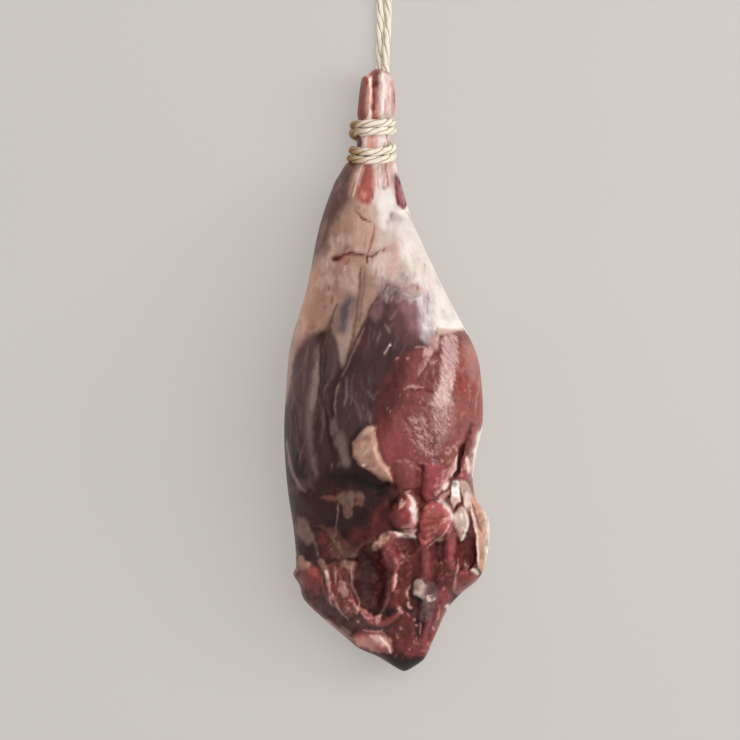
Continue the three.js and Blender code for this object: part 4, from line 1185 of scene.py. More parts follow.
def paintRedMeat(skin):
    skin.area("darkRed", 6, [
        (-9, 188), (-7, 205), (-3, 220), (4, 231), (14, 242), (12, 228), (6, 214), (4, 196), (-2, 176)])
    skin.area("midRed", 6, [(8, 238), (26, 246), (36, 236), (34, 222), (24, 206), (12, 208), (6, 218)], 0.9)
    skin.area("darkRed", 3, [(20, 222), (33, 232), (36, 224), (30, 215), (22, 217)], 0.5)
    skin.area("brightMeat", 6, [
        (54, 258), (66, 259), (85, 245), (85, 205), (72, 185), (55, 195), (50, 225)])
    skin.area("lipRed", 5, [
        (47, 206), (64, 214), (71, 198), (63, 186), (58, 172), (50, 156), (41, 160), (44, 178),
        (47, 192)], 0.7)
    skin.area("lipRed", 4, [(57, 255), (66, 253), (70, 236), (67, 222), (59, 226), (57, 242)], 0.75)
    skin.area("palePink", 4, [(58, 253), (66, 251), (70, 236), (66, 220), (61, 226)], 0.35)
    skin.area("darkMeat", 7, [
        (-12, 190), (-10, 205), (-6, 220), (2, 232), (12, 243), (17, 238), (14, 224), (13, 208),
        (4, 194)], 0.72)
    skin.area("lobeRed", 5, [(2, 186), (14, 186), (34, 166), (30, 156), (4, 160), (-4, 172)], 0.5)
    # the strip of membrane left on the cut, and the slit
    skin.area("lipRed", 1.4, [(31, 259), (38, 260), (38, 254), (35, 247), (31, 249)], 0.8)
    skin.area("lavender", 2.5, [(26, 263), (36, 263), (36, 255), (31, 249), (26, 252)], 0.55)
    skin.area("pinkFat", 1.4, [
        (37, 262), (48, 262), (58, 261), (52, 258.6), (44, 257), (38.6, 256)], 0.8, 0.3)
    skin.stroke("clotAndShade", 0.6, [(38.6, 255.4), (44, 256.4), (50, 258), (56, 259.4), (61, 259)], 0.8, -0.4)
    skin.stroke("palePink", 0.6, [(21, 247), (26, 248), (30, 247.4)], 0.6)
    skin.area("pinkFat", 1.8, [
        (39.6, 257), (38.4, 250), (35.6, 244), (33, 240), (30, 241), (32, 248), (33.6, 255)], 0.9, 0.5)
    skin.stroke("stripFat", 1.5, [(31, 241), (28, 236), (25, 230.6), (23.2, 225)], 0.7, 0.3)
    skin.scatter("glossHighlight", 36, (0.8, 3.4), 70, [
        (40, 257), (38, 246), (32, 239), (27, 240), (31, 256)], 39, 0.9, 0.2)
    skin.stroke("glossHighlight", 0.7, [(29, 238.4), (33, 236), (37.6, 236.8)], 0.6, 0.2)
    skin.scatter("glint", 14, (0.6, 2.4), 60, [(29, 241), (31, 238), (24, 224), (21, 227)], 40, 0.8, 0.3)
    skin.scatter("glint", 9, (0.8, 2.6), 150, [(30, 240), (38, 239), (36, 234), (30, 235)], 41, 0.8, 0.3)
    skin.area("darkRed", 1.2, [(38.4, 252), (40.4, 252), (40, 240), (37, 233), (36, 240)], 0.3)
    skin.stroke("clotAndShade", 0.8, [(36.6, 247), (34.6, 241), (30, 234), (26, 228), (21, 222)], 0.6, -0.4)
    skin.stroke("stripFat", 0.7, [
        (13.4, 215.6), (17, 217.8), (19.6, 218.4), (22, 217.2), (26, 217.4), (28.6, 216.8)], 0.8, 0.4)
    skin.spot("glossHighlight", 18.6, 217.6, 2.4, 1.3, 0.6, 0.2)
    skin.stroke("clotDark", 0.8, [(16, 216), (21, 215.2), (27, 216), (31, 215.6), (35, 213.6)], 0.7, -0.7)
    # the wet, wrinkled band down the middle, with a painted highlight and painted reflection
    skin.area("glossHighlight", 3, [
        (43, 257), (52, 258), (52.6, 246), (51, 233), (49.4, 221), (47, 211), (44.4, 203), (38.4, 203),
        (37.8, 209), (40.6, 217), (42.6, 228), (42.4, 242)], 0.6)
    skin.wrinkled(2.4, [
        (42, 257), (54, 258), (54.2, 246), (53, 233), (51, 221), (48, 211), (45.4, 203), (37.4, 203),
        (35.8, 209), (39, 217), (40.6, 228), (41, 242)], 1)
    skin.area("glossHighlight", 5, [(35, 214), (47, 212), (51, 196), (47, 178), (38, 174), (34, 190)], 0.35)
    skin.wrinkled(5, [(34, 212), (45, 212), (50, 198), (49, 186), (42, 180), (33, 182), (34, 198)], 0.45)
    skin.wrinkled(4, [(14, 197), (22, 198), (34, 184), (40, 170), (36, 162), (26, 166), (17, 178)], 0.32)
    skin.wrinkled(4, [(54, 256), (60, 257), (62, 236), (56, 224)], 0.22)
    skin.stroke("glint", 0.8, [(53, 246), (54.4, 238), (53.4, 230.6), (58, 228)], 0.6, 0.2)
    skin.scatter("clotAndShade", 30, (0.6, 4), 128, [
        (14, 197), (24, 197), (38, 184), (42, 168), (34, 162), (22, 168), (16, 182)], 47, 0.5, -0.3)
    skin.scatter("palePink", 26, (0.5, 3), 128, [
        (14, 197), (24, 197), (38, 184), (42, 168), (34, 162), (22, 168), (16, 182)], 44, 0.5, 0.3)
    skin.scatter("glossHighlight", 34, (0.9, 5), 128, [
        (16, 200), (34, 214), (46, 210), (46, 190), (42, 168), (34, 162), (20, 170),
        (15, 184)], 48, 0.45, 0.25)
    # painted shade in the fold's creases
    skin.stroke("clotAndShade", 0.8, [(28, 181), (32, 176), (30.6, 171)], 0.7, -0.5)
    skin.stroke("clotAndShade", 0.8, [(31, 172), (35, 178), (38.4, 182)], 0.6, -0.5)
    skin.stroke("glint", 0.9, [(22, 176), (28, 170.6), (34.4, 164.4)], 0.8, 0.4)
    skin.scatter("palePink", 60, (0.45, 1.2), 110, [
        (-6, 205), (30, 222), (70, 240), (70, 195), (50, 166), (4, 162)], 45, 0.5)
    skin.scatter("darkRed", 90, (1.5, 6), 112, [
        (-6, 205), (12, 235), (36, 250), (56, 250), (72, 200), (50, 162), (2, 160)], 46, 0.35, -0.12)
    skin.scatter("lipRed", 60, (1.4, 6), 112, [
        (4, 205), (16, 235), (70, 250), (72, 200), (50, 162), (2, 160)], 49, 0.35, 0.1)
    skin.scatter("glossHighlight", 12, (0.6, 8), 84, [(54, 250), (66, 250), (72, 215), (60, 200)], 50, 0.3, 0.1)
    for path, wide in (
            ([(7, 161.6), (9.4, 162), (11.5, 160.6)], 0.9),
            ([(12.6, 163), (14.6, 162.4), (17, 160.8)], 1.2),
            ([(24.6, 159.8), (27.6, 160.2), (30.4, 158.4)], 0.8),
            ([(21.8, 156.4), (23.6, 155.4), (25.4, 154)], 0.7),
            ([(14, 152.8), (16, 152)], 0.7), ([(61, 218), (62.4, 219), (64, 218)], 0.6),
            ([(62, 215.6), (63.4, 214)], 1.0), ([(64, 223.4), (66.4, 227.4)], 0.6),
            ([(69.4, 215), (67.6, 206), (67, 197)], 0.6), ([(50, 206), (51.6, 202.6)], 0.8),
            ([(55.6, 192), (57, 199), (60, 197)], 0.6), ([(75, 196), (74, 191), (71, 190)], 0.8),
            ([(15.4, 240), (15.8, 238)], 0.8), ([(5.6, 238.4), (9, 239.4)], 0.6)):
        skin.stroke("glint", wide, path, 0.9, 0.3)


def paintFlap(skin):
    # the flap of fat, and the painted shadow it hangs over
    skin.area("deepMeat", 3.5, [
        (-46, 158), (-30, 157), (-20, 157), (-12, 152), (-3, 146), (0, 143), (0, 137), (-12, 138),
        (-30, 139), (-52, 137), (-56, 146)], 0.9)
    skin.stroke("hole", 1.0, [
        (-28.4, 175), (-26.6, 165), (-22, 157.6), (-14, 152.6), (-6, 146.8)], 0.75, -0.8)
    skin.area("flapFat", 0.9, [
        (-9.4, 188.8), (-15, 188.2), (-19, 184.4), (-22.4, 181), (-27.2, 175.4), (-26, 172), (-25.6, 165),
        (-23, 160), (-18, 157), (-12, 153.4), (-8, 149.8), (-3, 146.6), (3.8, 145.4), (4, 149),
        (1, 154), (-2, 159), (-5.6, 165), (-8, 170), (-7.6, 176), (-8.6, 183)], 1, 1.0)
    skin.area("flapLight", 1.6, [(-10, 188), (-15, 187.4), (-20, 182.6), (-17, 181), (-11, 183)], 0.6, 0.3)
    skin.area("flapLight", 2.4, [(-20, 176), (-12, 176), (-9, 168), (-14, 165), (-22, 168)], 0.45)
    skin.stroke("brownFat", 1.3, [(-25.6, 176), (-20, 178), (-14, 179), (-10, 178)], 0.65, -0.4)
    skin.stroke("palePink", 1.0, [
        (-8.8, 184), (-8, 176), (-8.4, 170), (-5.4, 164), (-1.6, 158), (1.6, 153), (3.6, 146.6)], 0.8, 0.3)
    skin.stroke("brownFat", 1.0, [(-20, 162), (-15, 160.6), (-9, 158), (-3, 151)], 0.5, -0.2)
    skin.scatter("brownFat", 16, (0.8, 4), 60, [
        (-24, 172), (-10, 174), (-2, 154), (-14, 156)], 36, 0.5, -0.2)
    skin.scatter("flapLight", 14, (0.8, 4), 60, [
        (-24, 172), (-10, 174), (0, 152), (-14, 157)], 38, 0.5, 0.2)
    skin.spot("clotAndShade", -14, 157.6, 1.0, 1.0, 0.8, -0.3)
    skin.stroke("whitePink", 0.8, [(-18.2, 159.4), (-17.2, 158)], 0.9, 0.3)
    skin.spot("palePink", 0.6, 156.6, 1.6, 1.4, 0.7, 0.3)
    skin.spot("glint", -2.6, 146.4, 1.1, 1.0, 0.7)


def paintTornRight(skin):
    skin.area("darkRed", 2, [
        (3, 146), (6, 157), (14, 160), (24, 158), (25, 146), (22, 138), (10, 138)], 0.35)
    skin.area("lobeRed", 2, [
        (27, 157), (34, 160.6), (42, 160), (48, 156), (45, 148), (40, 142), (33, 135), (29, 132), (26, 137),
        (25, 147)])
    skin.stroke("darkRed", 2.4, [(29.6, 152), (28.4, 142), (29, 136)], 0.3)
    skin.stroke("clotAndShade", 0.9, [(26.6, 158), (26, 148), (25.2, 138), (27, 132)], 0.55, -0.5)
    skin.stroke("clotAndShade", 0.8, [(24, 142), (22, 136), (24, 131)], 0.35, -0.3)
    skin.scatter("palePink", 26, (0.5, 5), 45, [
        (33, 136), (40, 140), (50, 154), (46, 158), (36, 146)], 55, 0.6, 0.25)
    skin.stroke("palePink", 1.1, [(49.8, 160), (49, 153), (45, 147), (41, 141.4), (36.6, 135.6)], 0.8, 0.5)
    skin.stroke("whitePink", 1.2, [(53, 166), (52.4, 160), (51.2, 154), (49, 149.6)], 0.9, 0.7)
    skin.stroke("glint", 0.9, [(45, 159.6), (47.4, 161), (49.4, 163)], 0.9, 0.4)
    skin.area("whitePink", 0.8, [
        (41, 141.4), (45, 146), (46.6, 145), (45.4, 141), (42.6, 139.6)], 0.95, 0.6)
    skin.area("palePink", 1, [(38, 132.6), (42, 137), (48, 138.6), (47, 135), (43, 132.4)], 0.85, 0.3)
    for ring in ([(44.6, 171), (46.4, 171.8), (48.2, 170), (47.4, 168), (45, 167.4), (44.2, 169.4)],
                 [(49, 171), (50, 173), (52.4, 172), (52.8, 168.6)],
                 [(41, 163.6), (42.4, 162), (41.4, 160.6)]):
        skin.stroke("palePink", 0.7, ring, 0.8, 0.3)
    skin.spot("glint", 54.6, 176, 1.3, 1.0, 0.8, 0.3)
    # the split, painted dark as shade, and what hangs beside it
    skin.area("lipRed", 2, [(61, 192), (70, 192), (70, 178), (66, 166), (60, 160), (58, 168), (61, 178)])
    skin.area("darkRed", 1.6, [
        (60, 186), (65, 184), (64, 174), (62, 166), (57, 160), (56, 168), (59, 176)], 0.85)
    skin.area("hole", 0.9, [
        (59, 176), (58.6, 171), (57, 165), (55.6, 158), (54.2, 151), (51.6, 148.4), (49.8, 149.4),
        (50.8, 152), (52.6, 156), (53.4, 161), (54.2, 167), (55.4, 172)], 1, -1.2)
    skin.stroke("clotAndShade", 1.2, [(63, 187), (61.6, 181), (59, 174.6)], 0.85, -0.6)
    skin.area("lobeRed", 1.4, [(58, 160), (64, 158), (64, 147), (57, 147), (53, 150), (56, 154)])
    skin.scatter("palePink", 12, (0.6, 2.4), 60, [(57, 160), (64, 158), (64, 147), (55, 149)], 56, 0.7, 0.3)
    skin.stroke("creamFat", 1.9, [
        (77, 194), (72, 184), (69.4, 175), (67, 166), (66, 157), (66.4, 147), (67.4, 137)], 1, 0.6)
    skin.stroke("whitePink", 1.3, [(61, 164), (62, 159.6), (62.4, 153)], 0.95, 0.6)
    skin.stroke("palePink", 0.9, [(64, 164), (65, 157), (66, 152)], 0.7, 0.2)
    skin.area("fatBits", 1, [
        (54, 147), (59, 146.6), (63, 142), (65.6, 136), (66, 130), (62, 126), (58, 128), (57.6, 133),
        (55, 138)], 1, 0.8)
    skin.area("whitePink", 1.4, [
        (59, 138), (64, 138), (66, 130), (63, 124), (59.6, 126), (59, 132)], 0.8, 0.3)
    skin.area("creamFat", 0.8, [
        (48.6, 143.6), (50.6, 147), (54.4, 147.8), (55, 141), (54.4, 136), (56, 131), (52, 129.6),
        (50.6, 124.6), (48, 131), (48.2, 137)], 1, 1.2)
    skin.area("palePink", 1.2, [
        (49, 135), (54, 134), (55, 130.6), (51.6, 129.6), (50.6, 125), (48.6, 131)], 0.8)
    skin.stroke("clotAndShade", 0.8, [(55, 138), (57, 134.6), (57.6, 130.6)], 0.9, -0.6)
    skin.spot("clotDark", 46.6, 134.4, 1.3, 1.4, 0.9, -0.6)
    skin.spot("clotDark", 45.2, 130.6, 0.9, 1.2, 0.9, -0.6)
    skin.stroke("clotDark", 1.1, [(50.2, 122.6), (52, 126.6), (55, 129.4), (58, 130)], 0.9, -0.8)
    skin.area("fatBits", 1, [
        (51, 120), (53, 125.4), (57, 127.6), (61, 124), (62.2, 116), (61.6, 109), (59, 103.6),
        (56.6, 99.6), (54.6, 104), (52, 110), (50.6, 115)], 1, 1.2)
    skin.stroke("creamFat", 1.1, [(59.6, 123), (61.2, 116), (60.6, 109), (57, 101)], 0.7, 0.4)
    skin.area("recessRed", 1.6, [(52, 111), (54.4, 111), (56.4, 105), (55, 101), (52.8, 105)], 0.8)
    skin.scatter("creamFat", 8, (0.7, 3), 80, [(53, 124), (60, 124), (60, 112), (53, 112)], 57, 0.6, 0.2)
    skin.area("rightFlap", 1.1, [
        (62, 132), (66, 135.4), (72, 134.6), (78, 127), (86, 112), (86, 92), (80, 80), (70, 77),
        (68.4, 84), (67.8, 98), (66, 110), (63.4, 121)], 1, 0.7)
    skin.stroke("rightFlapLight", 2.1, [(70, 133), (75, 125), (78.4, 112), (77.4, 98), (75, 84)], 0.95, 0.3)
    skin.stroke("whitePink", 1.2, [(63.2, 130), (65.6, 120), (67.4, 108), (69, 94), (69.4, 82)], 0.8, 0.5)
    skin.stroke("vein", 0.9, [(64.6, 129), (67, 122), (69.4, 115), (71, 108)], 0.8, -0.4)
    skin.scatter("brownFat", 14, (0.8, 4), 80, [(70, 120), (76, 118), (76, 84), (70, 84)], 58, 0.55, -0.1)
    skin.area("recessRed", 1.0, [
        (62.6, 125), (63.8, 119), (65.8, 110), (67.2, 100), (68, 88), (68, 79), (60, 80.6), (55, 82),
        (54, 87), (52.4, 91), (53, 98), (57, 99), (60.6, 104), (62.4, 113)], 0.95, -0.7)
    skin.area("darkRed", 1.6, [(64.4, 112), (66.6, 104), (67.6, 90), (67.6, 80), (64, 80), (64, 96)], 0.8)
    skin.area("darkRed", 2, [(55, 90), (64, 88), (66, 80), (57, 80)], 0.4)


def paintColumns(skin):
    skin.area("darkRed", 2.4, [
        (18, 96), (26, 98), (36, 101), (45, 113), (53, 109), (54, 88), (55, 80), (52, 61), (44, 61),
        (34, 68), (26, 72), (16, 72), (16, 84)])
    skin.stroke("midRed", 5.0, [(33, 99), (34, 88), (33, 75)], 0.9)
    skin.stroke("lipRed", 0.9, [(38, 98), (38.4, 90), (38, 80)], 0.5)
    skin.stroke("lipRed", 0.8, [(31, 95), (31.4, 88), (31, 80)], 0.35)
    skin.stroke("deepMeat", 1.2, [(43.6, 106), (41.8, 98), (41.6, 90), (42.2, 83)], 0.6, -0.6)
    skin.stroke("lobeRed", 3.2, [(49, 113), (48, 104), (48, 94), (49, 80)], 0.95, 0.7)
    skin.stroke("lipRed", 1.0, [(51.2, 108), (51.2, 98), (51, 89)], 0.7, 0.2)
    skin.stroke("clotAndShade", 0.8, [(46, 104), (45.6, 94), (45.6, 86)], 0.5)
    skin.stroke("glint", 0.8, [(47.4, 109.6), (46.4, 107.4)], 0.9, 0.3)
    skin.stroke("deepMeat", 1.2, [(24.8, 95), (25.2, 87), (24.6, 78)], 0.5, -0.6)
    skin.stroke("midRed", 3.2, [(20, 92), (19.6, 82), (20, 72)], 0.85, 0.3)
    skin.scatter("glint", 18, (0.55, 2), 80, [
        (42, 88), (54, 90), (54.6, 72), (44, 68), (40, 78)], 51, 0.5, 0.4)
    skin.scatter("darkRed", 26, (0.9, 3), 75, [(42, 88), (54, 90), (52, 62), (42, 62)], 52, 0.3, -0.2)
    skin.stroke("glint", 0.6, [(30.4, 96.6), (31.6, 95)], 0.8, 0.3)
    skin.stroke("palePink", 0.7, [(31, 97.4), (36, 100.6), (42, 103.4)], 0.6, 0.4)
    skin.stroke("glint", 0.8, [(40.4, 85), (42.4, 83)], 0.8, 0.3)
    skin.scatter("deepMeat", 14, (1.1, 6), 84, [(18, 96), (40, 98), (40, 74), (22, 74)], 53, 0.25, -0.2)
    skin.scatter("midRed", 30, (1.2, 5), 75, [(8, 90), (54, 90), (48, 60), (10, 58)], 54, 0.5, 0.3)
    skin.area("lobeRed", 1.4, [
        (52, 75), (58, 79.6), (66, 77.6), (73, 73), (68, 65), (60, 60.2), (54, 59.6), (51.4, 63)])
    skin.area("knobRed", 2, [(52, 73), (58, 77), (66, 72), (60, 62), (53, 63)], 0.95)
    skin.stroke("lipRed", 1.6, [(69.4, 72), (65.4, 66.4), (60, 62.6)], 0.8)
    skin.stroke("whitePink", 1.5, [(64.2, 78.2), (67, 77.4), (69.4, 75)], 1, 0.9)
    skin.stroke("glint", 0.7, [(59, 83.8), (60.6, 82.4), (61.8, 80)], 0.9, 0.4)
    skin.stroke("palePink", 0.7, [
        (54.4, 87), (54.8, 83), (53, 78), (51.6, 73.6), (51, 67), (50.8, 62), (54, 60.4)], 0.6, 0.4)
    skin.area("lobeRed", 2.2, [
        (30, 42), (38, 62), (43, 66), (51, 61), (49, 54), (46, 46), (41, 36), (37, 24), (34, 14), (27, 14),
        (26, 24), (30, 34)])
    skin.stroke("lipRed", 1.5, [(44, 52), (41.4, 42), (37, 31)], 0.8, 0.2)
    skin.stroke("darkRed", 1.0, [(37, 54), (36, 44), (33, 32), (31, 22)], 0.7, -0.4)
    skin.stroke("palePink", 0.6, [(39.4, 52), (39.4, 45), (37.4, 38)], 0.6, 0.2)
    skin.stroke("palePink", 0.7, [(34.8, 35), (36.8, 32)], 0.8, 0.3)
    skin.stroke("palePink", 0.7, [(42.6, 66.4), (43.6, 63)], 0.8, 0.3)
    skin.spot("glint", 46, 59.6, 0.9, 0.9, 0.8)
    skin.stroke("darkRed", 1.2, [(44, 62), (46.6, 56), (45, 50)], 0.6, -0.3)
    skin.stroke("whitePink", 1.6, [(44, 49.8), (46, 49.8), (48.2, 47.8)], 1, 0.8)
    skin.scatter("darkRed", 26, (0.8, 5), 65, [
        (30, 42), (40, 64), (48, 58), (44, 44), (36, 20), (28, 18)], 59, 0.5, -0.2)


def paintMiddle(skin):
    # the open middle, the lump over it and the strand across it
    skin.area("cavityDark", 2, [
        (-22, 86), (-17, 93), (-12, 96), (-9.6, 92), (-6, 86), (-2, 79), (3, 77), (4, 66), (4, 56),
        (-1, 48), (-8, 45.6), (-14, 48), (-20, 52.6), (-23.4, 60), (-24.4, 70), (-23, 80)])
    skin.area("cavityRed", 3, [(-9, 80), (0, 79), (5, 72), (4, 58), (-3, 48), (-11, 54), (-11, 68)], 0.8)
    skin.stroke("rimBrown", 0.9, [(-12.8, 82), (-12, 70), (-12.4, 57)], 0.45, 0.3)
    skin.scatter("cavityRed", 16, (1.4, 6), 80, [(-12, 82), (3, 79), (4, 56), (-8, 49)], 86, 0.5, 0.5)
    skin.scatter("deepMeat", 12, (1.0, 7), 85, [(-18, 84), (3, 79), (4, 56), (-12, 50)], 87, 0.5, -0.6)
    skin.area("darkRed", 2.4, [
        (4, 80), (14, 84), (22, 92), (24, 84), (22, 72), (17, 66), (16, 56), (12, 49), (2, 50), (1, 58),
        (6, 68)])
    skin.area("midRed", 1.3, [
        (-11, 90), (-6, 96), (0, 101.6), (5, 103.4), (9, 98.6), (13, 92.6), (14.4, 86), (10, 80.6), (5, 77),
        (-1, 76.6), (-6, 79), (-10, 84)])
    skin.area("darkRed", 3, [(-7, 93), (1, 97), (6, 92), (4, 82), (-3, 81), (-6, 86)], 0.4)
    skin.scatter("glint", 24, (0.55, 2.2), 125, [
        (2, 103), (7, 101), (13, 95), (18, 88), (15, 84), (10, 90), (6, 97)], 60, 0.75, 0.4)
    skin.scatter("glint", 16, (0.5, 1.8), 110, [(-5, 94), (6, 96), (8, 82), (0, 80)], 65, 0.55, 0.3)
    skin.stroke("glint", 0.6, [(6.6, 87.6), (8, 84), (8.9, 80.6), (7.8, 77.8)], 0.95, 0.5)
    skin.stroke("glint", 0.6, [(8.8, 83.2), (10.8, 83.8), (12.4, 85.8)], 0.9, 0.4)
    skin.scatter("glint", 18, (0.5, 1.6), 90, [(8, 82), (18, 82), (18, 62), (8, 62)], 61, 0.45, 0.3)
    skin.spot("hole", 8.2, 69.6, 1.5, 2.4, 0.95, -1.2)
    skin.stroke("strand", 1.6, [(6.2, 77.6), (4.9, 73), (4.9, 68), (5.4, 65), (3.8, 62.2)], 1, 1.2)
    skin.stroke("whitePink", 0.5, [(6.7, 76), (6.6, 70), (6.7, 66)], 0.7, 0.2)
    skin.scatter("glint", 12, (0.6, 1.6), 100, [(-8, 77), (0, 78), (0, 72), (-6, 72)], 66, 0.4, 0.2)
    skin.area("darkRed", 3, [
        (0, 34), (8, 42), (16, 47), (22, 42), (24, 28), (23, 16), (12, 14), (4, 18), (0, 26)])
    skin.area("darkMeat", 2.4, [(3, 34), (10, 42), (15, 42), (20, 36), (18, 26), (10, 26)], 0.2)
    skin.stroke("midRed", 3.2, [(-18.4, 46), (-13, 40), (-5, 37.4), (2, 40), (8.6, 45.6)], 0.95, 0.8)
    skin.stroke("deepMeat", 1.2, [(13, 45), (8.6, 40), (2, 35.2), (-6, 33.6)], 0.7, -0.9)
    skin.scatter("glint", 34, (0.7, 2.4), 130, [
        (-20, 50), (-15, 47.6), (-9.6, 42), (-11, 38.6), (-17, 43)], 62, 0.8, 0.4)
    skin.scatter("glint", 20, (0.8, 2.2), 100, [(-9.6, 43), (-5, 46), (-4, 39), (-8, 37)], 67, 0.8, 0.4)
    skin.scatter("glint", 10, (0.8, 2.2), 130, [(7, 50), (10, 50), (13, 46), (10.6, 44.6)], 68, 0.9, 0.3)
    for path in ([(15, 46), (17.4, 43.6)], [(20, 41.6), (22.4, 40)], [(22, 37.4), (24, 35.6)],
                 [(20.6, 30.8), (21.6, 29.4)], [(10, 34.8), (11.6, 32.6)], [(16, 50.8), (19.2, 50)]):
        skin.stroke("glint", 0.8, path, 0.9, 0.4)
    skin.stroke("glint", 1.3, [(7.2, 30), (8.8, 28), (8, 26.4)], 0.75, 0.3)
    skin.stroke("palePink", 0.5, [(25.8, 38), (26, 33), (25.4, 28.6)], 0.8, 0.3)
    # the slit, painted dark as shade, with its pearly lip
    skin.area("hole", 0.9, [
        (17.6, 69), (20, 68.6), (19.6, 64), (20, 61.4), (23, 58.6), (23.8, 54), (24, 46), (24.4, 38),
        (25.4, 31), (23.8, 31), (24, 40), (21.4, 49), (17.6, 52.4), (17, 57), (18.4, 62)], 0.95, -1.0)
    skin.stroke("palePink", 0.7, [(17.4, 67), (15.6, 61.6), (16, 58.6), (17.4, 56.4)], 0.9, 0.6)
    skin.stroke("palePink", 0.7, [(16, 55), (15.6, 52), (17.4, 50.4)], 0.8, 0.5)
    skin.area("pearl", 0.9, [
        (20.6, 71.6), (24, 73), (27.6, 71), (29.6, 66), (30, 59), (28.8, 55.6), (25, 59.4), (20.4, 61.8),
        (19.6, 67)], 1, 0.5)
    skin.area("rimTan", 1.4, [(21, 67), (24, 66), (26, 62), (24, 61.6), (20.6, 63.4)], 0.3)
    skin.stroke("greyFat", 0.8, [(25.4, 71), (28, 67), (28.6, 61)], 0.5, 0.2)
    skin.stroke("whitePink", 1.2, [(20.4, 61.9), (24.4, 60), (29.2, 55.6)], 1, 0.8)
    skin.area("greyTissue", 2, [
        (29.8, 70), (33, 70), (38, 65), (38.6, 58), (36, 50), (35, 42), (31, 38), (25.4, 39), (25.4, 50),
        (27.4, 57)], 0.9)
    skin.area("darkMeat", 1.6, [(30, 66), (35, 66), (36, 60), (31, 59)], 0.5)
    skin.scatter("whitePink", 12, (0.7, 2), 165, [
        (30, 58.6), (36, 58.6), (36.6, 54.6), (31, 54.6)], 63, 0.9, 0.3)
    skin.spot("glint", 31.6, 51.2, 1.2, 0.9, 0.6, 0.2)


